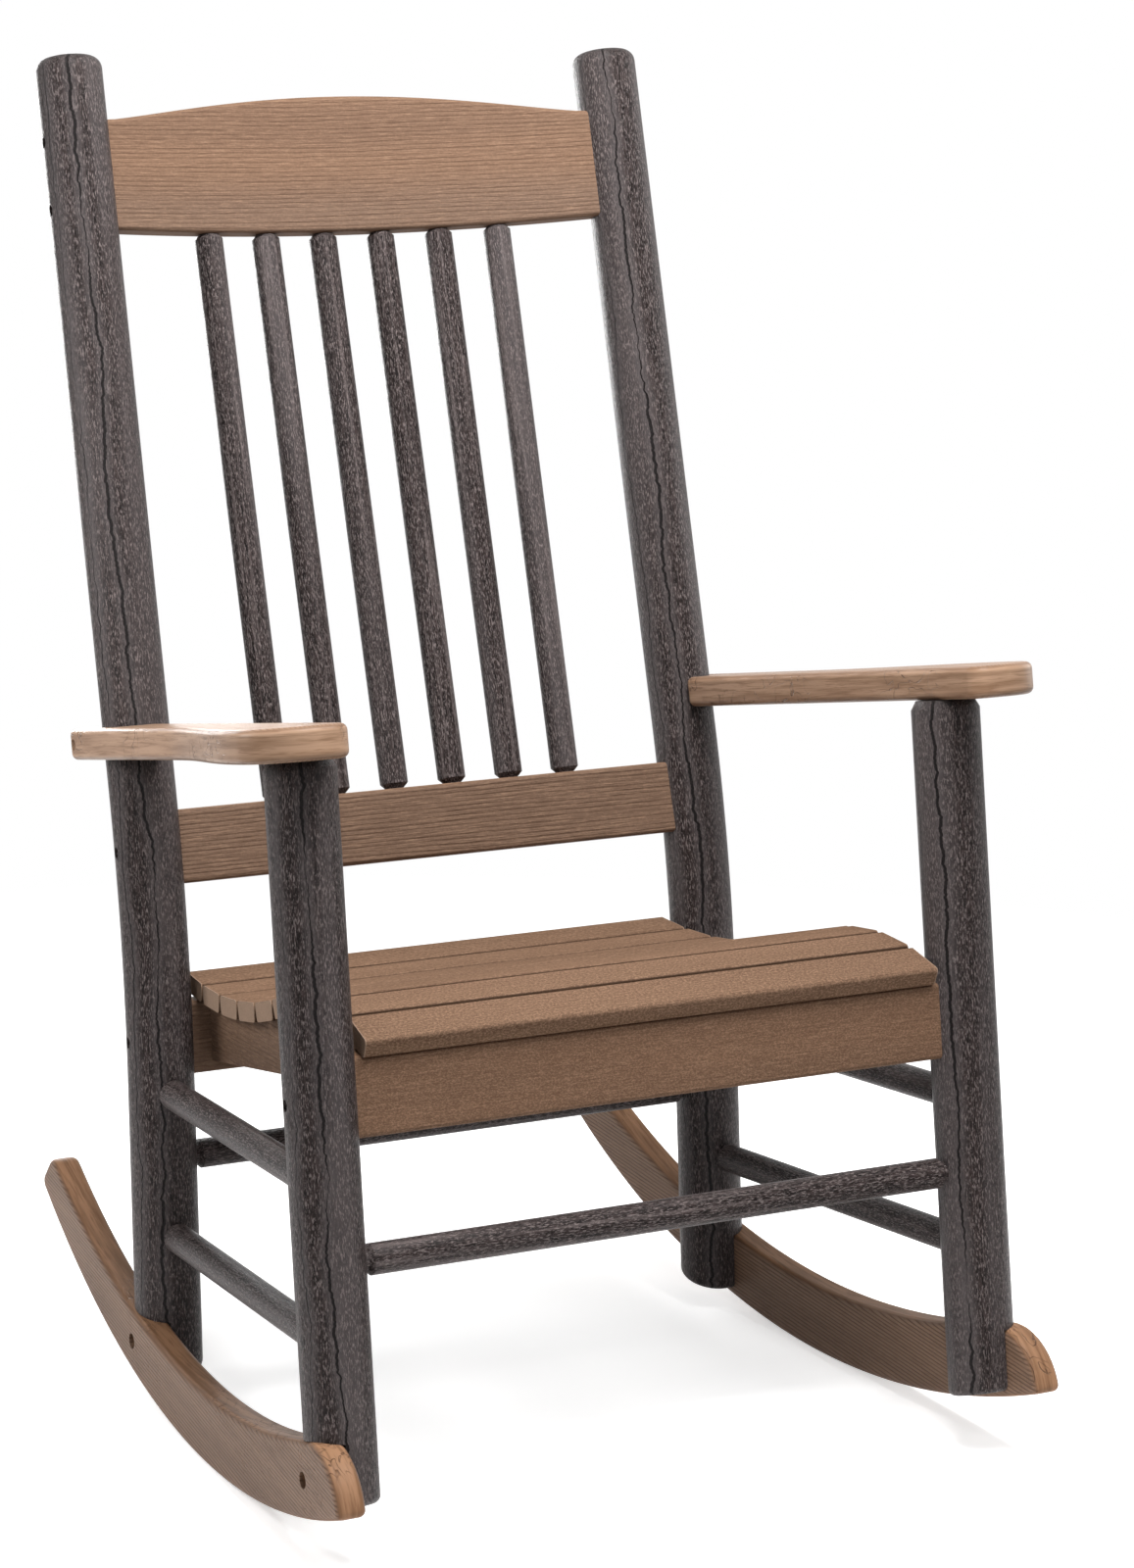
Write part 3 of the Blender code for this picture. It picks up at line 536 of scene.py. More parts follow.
LOG = log_paint("charcoal_log_post", CRACKS)
STICK = log_paint("charcoal_log_stick", ())
CREST = board_paint(
    "crest_board", (0.157, 0.0935, 0.0605), (0.135, 0.0805, 0.053), BOARD_EDGE,
    lines=0.38, grit_share=0.12, low_shade=0.6)
RAIL = board_paint(
    "rail_board", (0.137, 0.0855, 0.0585), (0.115, 0.0715, 0.049), BOARD_EDGE,
    lines=0.42, grit_share=0.12)
APRON = board_paint(
    "apron_board", (0.146, 0.083, 0.051), (0.125, 0.072, 0.045), BOARD_EDGE,
    lines=0.10, grit_share=0.34, fine=1.6)
SLAT = board_paint(
    "slat_board", SLAT_FACE, SLAT_SHADE, SLAT_ENDS,
    lines=0.24, grit_share=0.45, fine=1.3, shine=0.0)
REAR_SLAT = board_paint(
    "rear_slat_board", SLAT_FACE, SLAT_SHADE, SLAT_ENDS,
    lines=0.42, grit_share=0.30, shine=0.0)
ROCKER = routed_paint(
    "rocker_board", (0.226, 0.141, 0.096), (0.074, 0.042, 0.027),
    (0.262, 0.143, 0.080), (0.130, 0.066, 0.034),
    across="Z", along_edge=(5, 70, 5), rough=0.50, shine=0.10)
ARM = routed_paint(
    "arm_board", (0.262, 0.165, 0.109), (0.150, 0.090, 0.058),
    (0.322, 0.206, 0.136), (0.170, 0.095, 0.055),
    across="Y", along_edge=(5, 5, 90), rough=0.34, shine=0.10)
STEEL = steel_paint("dark_steel")

# The visual pieces have their nodes' names after a prefix. Cutters are removed at the end
SIDES = (("left", -1), ("right", 1))
LOOK = "look_"
chair = bpy.data.collections.new("log_rocking_chair")
cutters = bpy.data.collections.new("cutters")
bpy.context.scene.collection.children.link(chair)
bpy.context.scene.collection.children.link(cutters)
made = []


def solid(name, verts, faces, where):
    """A closed mesh turned to face outward."""
    volume = 0.0
    for face in faces:
        for i in range(1, len(face) - 1):
            a, b, c = verts[face[0]], verts[face[i]], verts[face[i + 1]]
            volume += a.dot(b.cross(c))
    if volume < 0:
        faces = [tuple(reversed(face)) for face in faces]
    mesh = bpy.data.meshes.new(LOOK + name)
    mesh.from_pydata([tuple(v) for v in verts], [], faces)
    piece = bpy.data.objects.new(LOOK + name, mesh)
    where.objects.link(piece)
    return piece


def loft(name, rings, where=chair):
    """Rings of equally many points, joined and closed at both ends."""
    count = len(rings[0])
    verts = [point for ring in rings for point in ring]
    faces = []
    for k in range(len(rings) - 1):
        for i in range(count):
            j = (i + 1) % count
            faces.append((k * count + i, k * count + j, (k + 1) * count + j, (k + 1) * count + i))
    last = (len(rings) - 1) * count
    faces.append(tuple(reversed(range(count))))
    faces.append(tuple(last + i for i in range(count)))
    return solid(name, verts, faces, where)


def turned(name, start, along, profile, sides, where=chair):
    """A round piece from a profile of reach along its axis and radius."""
    along = along.normalized()
    u = along.orthogonal().normalized()
    w = along.cross(u)
    rings = []
    for reach, radius in profile:
        ring = []
        for i in range(sides):
            turn = 2 * math.pi * i / sides
            ring.append(start + along * reach + (u * math.cos(turn) + w * math.sin(turn)) * radius)
        rings.append(ring)
    return loft(name, rings, where)


def cut(piece, cutter):
    mod = piece.modifiers.new(cutter.name, "BOOLEAN")
    mod.operation = "DIFFERENCE"
    mod.solver = "EXACT"
    mod.object = cutter


def bevel(piece, width):
    mod = piece.modifiers.new("rounded_edges", "BEVEL")
    mod.width = width
    mod.segments = BEVEL_STEPS
    mod.limit_method = "ANGLE"
    mod.angle_limit = BEVEL_ANGLE


def keep(piece, paint, slot, grain, routed=None):
    """Note a piece's paint, how its grain runs, and where its edges are routed. The slot is kept with them
    but not used.
    """
    made.append((piece, paint, slot, grain, routed or (lambda p: 0.0)))
    return piece


def along_line(start, along, turn=0.0):
    """Grain that runs along a straight piece, turned about it."""
    along = along.normalized()
    side_on = Vector((1, 0, 0)) if abs(along.x) < 0.9 else Vector((0, 1, 0))
    back_on = along.cross(side_on).normalized()
    side_on = back_on.cross(along)
    u = side_on * math.cos(turn) + back_on * math.sin(turn)
    w = back_on * math.cos(turn) - side_on * math.sin(turn)

    def grain(p):
        off = p - start
        return Vector((off.dot(along), off.dot(u), off.dot(w)))
    return grain


def ramp(depth, thick, width):
    """0 on a board's two faces, rising to 1 at a width inside them."""
    return max(0.0, min(1.0, min(depth, thick - depth) / width))


def rounded(points, radius):
    """A polygon's points with every corner replaced by an arc."""
    out = []
    for i, corner in enumerate(points):
        out += arc_corner(points[i - 1], corner, points[(i + 1) % len(points)], radius, ROUND_STEPS)
    return out


def arc_corner(before, corner, after, radius, steps):
    """The arc that takes a corner's place."""
    a = (before - corner).normalized()
    b = (after - corner).normalized()
    half = a.angle(b) / 2
    middle = corner + (a + b).normalized() * (radius / math.sin(half))
    first = corner + a * (radius / math.tan(half)) - middle
    final = corner + b * (radius / math.tan(half)) - middle
    out = []
    for k in range(steps + 1):
        swing = first.lerp(final, k / steps)
        out.append(middle + swing.normalized() * radius)
    return out


# A quarter circle: a rise from 0 to 1 and an inset from 1 to 0
turns = [t * math.pi / (2 * RIM_STEPS) for t in range(RIM_STEPS + 1)]
QUARTER = [(1 - math.cos(turn), 1 - math.sin(turn)) for turn in turns]


def front_axis(z, side=1):
    """The point of a front post's axis at a height."""
    return Vector((side * (FRONT_X + FRONT_X_SLOPE * z), FRONT_Y + FRONT_Y_SLOPE * z, z))


def rear_axis(z, side=1):
    """The point of a rear post's lower axis at a height."""
    return Vector((side * (REAR_X + REAR_X_SLOPE * z), REAR_Y + REAR_Y_SLOPE * z, z))


def back_up(side=1):
    """The direction of a rear post above its bend."""
    lean = math.cos(BACK_LEAN)
    return Vector((side * REAR_X_SLOPE * lean, math.sin(BACK_LEAN), lean))


def back_axis(reach, side=1):
    return rear_axis(BEND_Z, side) + back_up(side) * reach


def arm_under(y):
    """Height of the arms' undersides."""
    return ARM_Z + ARM_SLOPE * y


ARM_UP = Vector((0, -ARM_SLOPE, 1)).normalized()


def on_arc(angle, radius=ARC_R):
    """A point of the rockers' arc, by its angle from straight down."""
    return Vector((0, ARC_Y + radius * math.sin(angle), ARC_Z - radius * math.cos(angle)))


def rocker_top(y):
    """Height of the rockers' upper edge."""
    return TOP_Z - math.sqrt(TOP_R ** 2 - (y - TOP_Y) ** 2)


def post_ring(base, along, radius, plane_point, plane_normal):
    """Points where a round post's sides meet a plane."""
    u = Vector((1, 0, 0))
    w = along.cross(u).normalized()
    u = w.cross(along).normalized()
    ring = []
    for i in range(POST_SIDES):
        turn = 2 * math.pi * i / POST_SIDES
        edge = base + (u * math.cos(turn) + w * math.sin(turn)) * radius
        slide = plane_normal.dot(plane_point - edge) / plane_normal.dot(along)
        ring.append(edge + along * slide)
    return ring


def foot_rings(axis, along, side, clear):
    """The foot is cut to the rocker's curve, a little above it, with a rounded rim."""
    low = axis(FOOT_Z, side)
    angle = math.atan2(low.y - ARC_Y, ARC_Z - low.z)
    normal = Vector((0, -math.sin(angle), math.cos(angle)))
    sole = on_arc(angle, ARC_R - clear)
    rings = []
    for lift, inset in QUARTER:
        plane_point = sole + normal * FOOT_ROUND * lift
        rings.append(post_ring(low, along, POST_R - FOOT_ROUND * inset, plane_point, normal))
    return rings


def front_post(name, side):
    """A straight post with a chamfered shoulder and a tenon below its arm."""
    along = (front_axis(1, side) - front_axis(0, side)).normalized()
    base = front_axis(FRONT_MIDDLE_Z, side)
    top_y = (FRONT_Y + FRONT_Y_SLOPE * ARM_Z) / (1 - FRONT_Y_SLOPE * ARM_SLOPE)
    top = Vector((0, top_y, arm_under(top_y))) - ARM_UP * FIT
    rings = foot_rings(front_axis, along, side, FRONT_FOOT_LIFT)
    rings.append(post_ring(base, along, POST_R, top - ARM_UP * POST_CHAMFER_H, ARM_UP))
    rings.append(post_ring(base, along, POST_R - POST_CHAMFER, top, ARM_UP))
    rings.append(post_ring(base, along, ARM_TENON_R, top, ARM_UP))
    rings.append(post_ring(base, along, ARM_TENON_R, top + ARM_UP * ARM_TENON_LENGTH, ARM_UP))
    post = loft(name, rings)

    # The shoulder under the arm takes the darker end colour, which there is painted shade
    def under_arm_shade(p):
        return 1.0 if ARM_UP.dot(p - top) > -POST_CHAMFER_H / 2 else 0.0
    return keep(post, LOG, "charcoal_log", along_line(base, along, FRONT_TURN[side]), under_arm_shade)


def rear_post(name, side):
    """A post that bends backward above the seat, with a rounded top."""
    lower = (rear_axis(1, side) - rear_axis(0, side)).normalized()
    upper = back_up(side).normalized()
    rings = foot_rings(rear_axis, lower, side, REAR_FOOT_LIFT)
    bend = rear_axis(BEND_Z, side)
    turn = lower.angle(upper)
    start = bend - lower * (BEND_R * math.tan(turn / 2))
    sideways = (upper - lower * upper.dot(lower)).normalized()
    for k in range(BEND_STEPS + 1):
        share = k / BEND_STEPS
        along = lower.lerp(upper, share).normalized()
        swing = turn * share
        middle = start + lower * BEND_R * math.sin(swing) + sideways * BEND_R * (1 - math.cos(swing))
        rings.append(post_ring(middle, along, POST_R, middle, along))
    for drop, inset in reversed(QUARTER):
        spot = bend + upper * (BACK_LENGTH - POST_TOP_ROUND * drop)
        rings.append(post_ring(spot, upper, POST_R - POST_TOP_ROUND * inset, spot, upper))

    def grain(p):
        along = upper if (p - bend).dot(lower + upper) > 0 else lower
        return along_line(bend, along, REAR_TURN[side])(p)

    def crown(p):
        return max(0.0, min(1.0, 1 + ((p - bend).dot(upper) - BACK_LENGTH) / POST_TOP_ROUND))
    return keep(loft(name, rings), LOG, "charcoal_log", grain, crown)


def rocker_profile():
    """Side view from the front's lower corner along the floor to the tail, then back on top."""
    sweep = ROCKER_TAIL - ROCKER_FRONT
    low = [on_arc(ROCKER_FRONT + sweep * i / ARC_STEPS) for i in range(ARC_STEPS + 1)]
    ends = []
    for angle, rake in ((ROCKER_TAIL, TAIL_RAKE), (ROCKER_FRONT, 0)):
        spot = on_arc(angle)
        rise = Vector((0, -math.sin(angle + rake), math.cos(angle + rake)))
        height = END_FIRST_TRY
        for _ in range(END_TRIES):
            point = spot + rise * height
            height += (rocker_top(point.y) - point.z) * rise.z
        ends.append(spot + rise * height)
    tail, nose = ends
    ys = [tail.y + (nose.y - tail.y) * i / ARC_STEPS for i in range(1, ARC_STEPS)]
    top = [Vector((0, y, rocker_top(y))) for y in ys]
    tail_arc = arc_corner(low[-1], tail, top[0], TAIL_ROUND, TAIL_STEPS)
    low_arc = arc_corner(low[-1 - TAIL_LOW_SKIP], low[-1], tail, TAIL_LOW_ROUND, TAIL_LOW_STEPS)
    nose_arc = arc_corner(top[-1], nose, low[0], NOSE_ROUND, NOSE_STEPS)
    top = [p for p in top if nose_arc[0].y + TOP_CLEAR < p.y < tail_arc[-1].y - TOP_CLEAR]
    return low[:-TAIL_LOW_SKIP] + low_arc + tail_arc + top + nose_arc


def plate(name, profile, in_x, thick, side, where=chair):
    """A side-view profile made into a board whose faces follow the rockers' toe-in."""
    rings = []
    for out in (0, thick):
        rings.append([Vector((side * (in_x + ROCKER_TOE * p.y + out), p.y, p.z)) for p in profile])
    return loft(name, rings, where)


def rocker(name, side):
    piece = plate(name, rocker_profile(), ROCKER_IN_X, ROCKER_T, side)
    bevel(piece, ROCKER_ROUND)
    start = Vector((side * ROCKER_IN_X, 0, 0))

    def edge(p):
        return ramp(abs(p.x) - ROCKER_IN_X - ROCKER_TOE * p.y, ROCKER_T, ROCKER_ROUND)
    return keep(piece, ROCKER, "tan_board", along_line(start, CHORD), edge)


def rocker_housing(name, side):
    """The room that the posts give to a rocker, open to the outside."""
    return plate(name, rocker_profile(), ROCKER_IN_X - FIT, LAP_REACH, side, cutters)


def arm(name, side):
    """The arm's outline seen from above, notched at the rear around the post."""
    def inner(y):
        return ARM_IN_REAR_X + ARM_IN_SLOPE * (y - LOBE_Y)

    front_in = Vector((inner(ARM_FRONT_Y), ARM_FRONT_Y, 0))
    front_out = Vector((ARM_PADDLE_X, ARM_FRONT_Y, 0))
    rear_out = Vector((ARM_PRONG_X, ARM_REAR_Y, 0))
    rear_in = Vector((NOTCH_X, ARM_REAR_Y, 0))
    lobe_in = Vector((inner(LOBE_Y), LOBE_Y, 0))
    notch = Vector((NOTCH_X, LOBE_Y, 0))
    outline = [lobe_in]
    outline += arc_corner(lobe_in, front_in, front_out, ARM_IN_CORNER, ARM_IN_STEPS)
    outline += arc_corner(front_in, front_out, Vector((ARM_PADDLE_X, 0, 0)), ARM_OUT_CORNER, ARM_OUT_STEPS)
    for i in range(ARM_S_STEPS + 1):
        share = i / ARM_S_STEPS
        y = ARM_S_FRONT + (ARM_S_REAR - ARM_S_FRONT) * share
        ease = 3 * share ** 2 - 2 * share ** 3
        outline.append(Vector((ARM_PADDLE_X + (ARM_PRONG_X - ARM_PADDLE_X) * ease, y, 0)))
    outline += arc_corner(outline[-1], rear_out, rear_in, ARM_END_CORNER, ARM_END_STEPS)
    outline += [rear_in, notch]
    lean = math.tan(BACK_LEAN + math.atan(ARM_SLOPE)) * ARM_T
    rings = []
    for rise in (0, ARM_T):
        ring = []
        for p in outline:
            spot = Vector((side * p.x, p.y, arm_under(p.y))) + ARM_UP * rise
            if p in (lobe_in, notch) and rise:
                spot.y += lean
                spot.z += lean * ARM_SLOPE
            ring.append(spot)
        rings.append(ring)
    piece = loft(name, rings)
    bevel(piece, ARM_ROUND)
    along = Vector((0, 1, ARM_SLOPE))
    foot = Vector((0, 0, ARM_Z))

    def edge(p):
        return ramp(ARM_UP.dot(p - foot), ARM_T, ARM_ROUND)
    return keep(piece, ARM, "tan_board", along_line(foot, along), edge)


def rail(name, up, height, foot, top_slope):
    """A straight rail between two posts, its face set ahead of the posts' axes."""
    ahead = Vector((0, -up.z, up.y))
    half = foot.x - RAIL_STOP
    lead, back = RAIL_LEAD, RAIL_LEAD - RAIL_T
    corners = [
        ahead * back,
        ahead * lead,
        ahead * lead + up * height,
        ahead * back + up * (height + top_slope * (lead - back)),
    ]
    section = rounded(corners, RAIL_ROUND)
    rings = []
    for x in (-half, half):
        rings.append([Vector((x, foot.y + p.y, foot.z + p.z)) for p in section])
    paint = APRON if name == "front_apron" else RAIL

    def grain(p):
        return Vector((p.x, (p - foot).dot(up), (p - foot).dot(ahead)))

    def edge(p):
        return ramp(lead - (p - foot).dot(ahead), RAIL_T, RAIL_ROUND)
    return keep(loft(name, rings), paint, "tan_board", grain, edge)


def crest(name):
    """The arched top rail, bowed to the rear between its ends."""
    up = Vector((0, math.sin(BACK_LEAN), math.cos(BACK_LEAN)))
    ahead = Vector((0, -up.z, up.y))
    inside = back_axis(CREST_D + CREST_END_H / 2).x
    half = inside - RAIL_STOP
    foot = back_axis(CREST_D)
    rings = []
    for i in range(CREST_STATIONS):
        x = -half + 2 * half * i / (CREST_STATIONS - 1)
        share = 1 - (x / (inside - POST_R)) ** 2
        height = CREST_END_H + CREST_RISE * max(share, 0) ** CREST_PEAK
        dip = CREST_DIP * share
        shift = RAIL_LEAD - CREST_BOW * share
        corners = [
            ahead * (shift - RAIL_T) - up * dip,
            ahead * shift - up * dip,
            ahead * shift + up * height,
            ahead * (shift - RAIL_T) + up * height,
        ]
        section = rounded(corners, RAIL_ROUND)
        rings.append([Vector((x, foot.y + p.y, foot.z + p.z)) for p in section])

    def depth_of(p):
        share = 1 - (p.x / (inside - POST_R)) ** 2
        return RAIL_LEAD - CREST_BOW * share - (p - foot).dot(ahead)

    def grain(p):
        return Vector((p.x, (p - foot).dot(up), depth_of(p)))

    def edge(p):
        return ramp(depth_of(p), RAIL_T, RAIL_ROUND)
    return keep(loft(name, rings), CREST, "tan_board", grain, edge)


def stick(name, start, end, shoulder, tenon, radius, tenon_r):
    """A round stick with chamfered shoulders and tenons, each at its distance from both ends."""
    along = (end - start).normalized()
    length = (end - start).length
    a, b = shoulder, length - shoulder
    ta, tb = tenon, length - tenon
    edge = radius - END_CHAMFER
    profile = [
        (ta, tenon_r), (a, tenon_r), (a, edge), (a + END_CHAMFER, radius),
        (b - END_CHAMFER, radius), (b, edge), (b, tenon_r), (tb, tenon_r),
    ]
    if edge <= tenon_r:
        profile = [p for k, p in enumerate(profile) if k not in (2, 5)]
    piece = turned(name, start, along, profile, STICK_SIDES)
    return keep(piece, STICK, "charcoal_log", along_line(start, along))


def stretcher(name, start, end):
    """A stick between two posts' axes."""
    shoulder = POST_R + SHOULDER_GAP
    return stick(name, start, end, shoulder, STRETCHER_TENON_STOP, STRETCHER_R, STRETCHER_TENON_R)


def bore(name, surface, along, radius, piece):
    """The hole that a screw's head is sunk in."""
    hole = [(-BORE_LEAD, radius), (BORE_DEPTH + HEAD_H + FIT, radius)]
    cut(piece, turned("cut_" + name, surface, along, hole, BORE_SIDES, cutters))


def seat_height(y):
    """Seat curve seen from the side: a hump at the front flowing into a hollow."""
    sweep = 2 * math.atan2(SEAT_PEAK_Z - SEAT_VALLEY_Z, SEAT_VALLEY_Y - SEAT_PEAK_Y)
    valley_r = (SEAT_VALLEY_Y - SEAT_PEAK_Y) / math.sin(sweep) - SEAT_PEAK_R
    if y < SEAT_PEAK_Y + SEAT_PEAK_R * math.sin(sweep):
        return SEAT_PEAK_Z - SEAT_PEAK_R + math.sqrt(SEAT_PEAK_R ** 2 - (y - SEAT_PEAK_Y) ** 2)
    return SEAT_VALLEY_Z + valley_r - math.sqrt(valley_r ** 2 - (y - SEAT_VALLEY_Y) ** 2)


def seat_joints():
    """Points of the seat curve between the slats, one pitch apart."""
    joints = [Vector((0, SEAT_FRONT_Y, seat_height(SEAT_FRONT_Y)))]
    for _ in range(SLAT_COUNT):
        here = joints[-1]
        y = here.y + SLAT_PITCH
        for _ in range(PITCH_TRIES):
            step = Vector((0, y, seat_height(y))) - here
            y = here.y + step.y * SLAT_PITCH / step.length
        joints.append(Vector((0, y, seat_height(y))))
    return joints


def seat_half(y):
    """Half the seat's width, which tapers to the rear."""
    return SEAT_HALF_W + SEAT_TAPER * (y - SEAT_FRONT_Y)


def slat(name, start, end):
    """A board from one joint to the next: gritty at the seat's front, streaked behind its hump's top."""
    along = (end - start).normalized()
    up = Vector((0, -along.z, along.y))
    middle = (start + end) / 2
    top = (SLAT_PITCH - SLAT_GAP) / 2
    foot = top - SLAT_DRAFT
    corners = [
        middle - along * foot - up * SLAT_T,
        middle + along * foot - up * SLAT_T,
        middle + along * top,
        middle - along * top,
    ]
    section = rounded(corners, SLAT_ROUND)
    rings = []
    for side, inset in ((-1, 0), (-1, SLAT_END), (1, SLAT_END), (1, 0)):
        rings.append([Vector((side * (seat_half(p.y) - inset), p.y, p.z)) for p in section])

    def grain(p):
        return Vector((p.x, (p - middle).dot(along), (p - middle).dot(up)))

    def edge(p):
        """1 on the ends, -1 on the sides that face other slats across a gap, which get painted shade."""
        if abs(p.x) > seat_half(p.y) - SLAT_END / 2:
            return 1.0
        has_joint = start.y > SEAT_FRONT_Y or (p - middle).dot(along) > 0
        in_joint = (p - middle).dot(up) < -SLAT_ROUND / 4
        return -1.0 if has_joint and in_joint else 0.0
    paint = SLAT if middle.y < SEAT_PEAK_Y else REAR_SLAT
    return keep(loft(name, rings), paint, "tan_board", grain, edge)


def seat_support(name, side, joints, front_y, rear_y):
    """A side board under the slats, shaped to their undersides, with a tongue at each end."""
    under = []
    for k in range(SLAT_COUNT + 1):
        before = max(k, 1)
        after = min(k, SLAT_COUNT - 1)
        a = (joints[before] - joints[before - 1]).normalized()
        b = (joints[after + 1] - joints[after]).normalized()
        down = Vector((0, a.z + b.z, -a.y - b.y)).normalized()
        under.append(joints[k] + down * (SLAT_T + FIT) / math.cos(a.angle(b) / 2))

    def at(y):
        for p, q in zip(under, under[1:]):
            if y <= q.y:
                break
        return p.z + (q.z - p.z) * (y - p.y) / (q.y - p.y)

    def side_point(y, z, inward):
        return Vector((side * (seat_half(y) - SUPPORT_INSET - inward), y, z))

    front_low = SUPPORT_FRONT_Z + TONGUE_SHOULDER
    front_high = at(front_y) - TONGUE_TOP_SHOULDER
    rear_low = SUPPORT_REAR_Z + TONGUE_SHOULDER
    rear_high = at(rear_y) - TONGUE_TOP_SHOULDER
    outline = [(front_y, SUPPORT_FRONT_Z), (rear_y, SUPPORT_REAR_Z), (rear_y, rear_low)]
    outline += [(rear_y + TONGUE, rear_low), (rear_y + TONGUE, rear_high), (rear_y, rear_high)]
    outline.append((rear_y, at(rear_y)))
    between = [p for p in under if front_y + SUPPORT_CLEAR < p.y < rear_y - SUPPORT_CLEAR]
    outline += [(p.y, p.z) for p in reversed(between)]
    outline += [(front_y, at(front_y)), (front_y, front_high), (front_y - TONGUE, front_high)]
    outline += [(front_y - TONGUE, front_low), (front_y, front_low)]
    rings = [[side_point(y, z, inward) for y, z in outline] for inward in (0, SUPPORT_T)]
    return keep(loft(name, rings), RAIL, "tan_board", lambda p: Vector((p.y, p.z, p.x)))


# Where the arm meets the rear post: the post's front and outer sides, at the arm's underside
arm_rear_y = rear_axis(BEND_Z).y
for _ in range(ARM_TRIES):
    arm_rear_d = (arm_under(arm_rear_y) - BEND_Z) / back_up().z
    arm_rear_y = back_axis(arm_rear_d).y
LOBE_Y = arm_rear_y - (POST_R + 2 * FIT) / math.cos(BACK_LEAN)
NOTCH_X = back_axis(arm_rear_d).x + POST_R + FIT

# Posts, rockers and arms
posts = {}
rockers = {}
arms = {}
for label, side in SIDES:
    posts[label, "front"] = front_post(label + "_front_post", side)
    posts[label, "rear"] = rear_post(label + "_rear_post", side)
    rockers[label] = rocker(label + "_rocker", side)
    housing = rocker_housing("cut_" + label + "_rocker_lap", side)
    cut(posts[label, "front"], housing)
    cut(posts[label, "rear"], housing)
    arms[label] = arm(label + "_armrest", side)

# Stretchers
for label, side in SIDES:
    for tag, step in (("upper", STRETCHER_STEP), ("lower", -STRETCHER_STEP)):
        z = SIDE_STRETCHER_Z + step
        name = label + "_" + tag + "_stretcher"
        stretcher(name, front_axis(z, side), rear_axis(z, side))
cross = (("front", front_axis, FRONT_STRETCHER_Z), ("rear", rear_axis, REAR_STRETCHER_Z))
for tag, axis_of, z in cross:
    stretcher(tag + "_stretcher", axis_of(z, -1), axis_of(z, 1))

# Rails
front_up = Vector((0, FRONT_Y_SLOPE, 1)).normalized()
rear_up = Vector((0, REAR_Y_SLOPE, 1)).normalized()
upper_up = Vector((0, math.sin(BACK_LEAN), math.cos(BACK_LEAN)))
joints = seat_joints()
nose = (joints[1] - joints[0]).normalized()
nose_under = joints[0] + Vector((0, nose.z, -nose.y)) * (SLAT_T + FIT)
apron_face = front_axis(APRON_Z).y - RAIL_LEAD
apron_top = nose_under.z + (apron_face + FRONT_Y_SLOPE * RAIL_H - nose_under.y) * nose.z / nose.y
apron_h = (apron_top - APRON_Z) / front_up.z - APRON_NOSE_GAP
apron_top_slope = nose.z / nose.y - FRONT_Y_SLOPE
rails = (
    ("front_apron", "front", front_up, apron_h, front_axis(APRON_Z), apron_top_slope),
    ("rear_seat_rail", "rear", rear_up, RAIL_H, rear_axis(REAR_RAIL_Z), 0.0),
    ("lower_back_rail", "rear", upper_up, RAIL_H, back_axis(LOWER_RAIL_D), 0.0),
)
rail_middle = RAIL_LEAD - RAIL_T / 2
post_side = math.sqrt(POST_R ** 2 - rail_middle ** 2)
for name, row, up, height, foot, top_slope in rails:
    rail(name, up, height, foot, top_slope)
    for label, side in SIDES:
        spot = foot + up * (height / 2) + Vector((0, -up.z, up.y)) * rail_middle
        surface = Vector((side * (foot.x + post_side), spot.y, spot.z))
        bore(label + "_" + name, surface, Vector((-side, 0, 0)), BORE_R, posts[label, row])

crest("crest_rail")
crest_ahead = Vector((0, -upper_up.z, upper_up.y))
for label, side in SIDES:
    for tag, share in CREST_SCREWS:
        spot = back_axis(CREST_D + CREST_END_H * share) + crest_ahead * rail_middle
        surface = Vector((side * (spot.x + post_side), spot.y, spot.z))
        bore(label + "_crest_" + tag, surface, Vector((-side, 0, 0)), BORE_R, posts[label, "rear"])

# Back spindles
middle_off = crest_ahead * rail_middle
crest_in = back_axis(CREST_D + CREST_END_H / 2).x - POST_R
for k in range(SPINDLE_COUNT):
    x = (k - (SPINDLE_COUNT - 1) / 2) * SPINDLE_PITCH
    low = back_axis(LOWER_RAIL_D + RAIL_H) + middle_off
    share = 1 - (x / crest_in) ** 2
    high = back_axis(CREST_D - CREST_DIP * share) + middle_off - crest_ahead * CREST_BOW * share
    low.x = x
    high.x = x
    name = "back_spindle_" + str(k + 1)
    stick(name, low, high, 2 * FIT, -SPINDLE_TENON_LENGTH, SPINDLE_R, SPINDLE_TENON_R)

# Seat
for k in range(SLAT_COUNT):
    slat("seat_slat_%02d" % (k + 1), joints[k], joints[k + 1])
support_front = front_axis(APRON_Z + RAIL_H / 2).y + RAIL_T - RAIL_LEAD + SUPPORT_FRONT_GAP
support_rear = rear_axis(REAR_RAIL_Z).y - RAIL_LEAD - FIT
for label, side in SIDES:
    seat_support(label + "_seat_support", side, joints, support_front, support_rear)

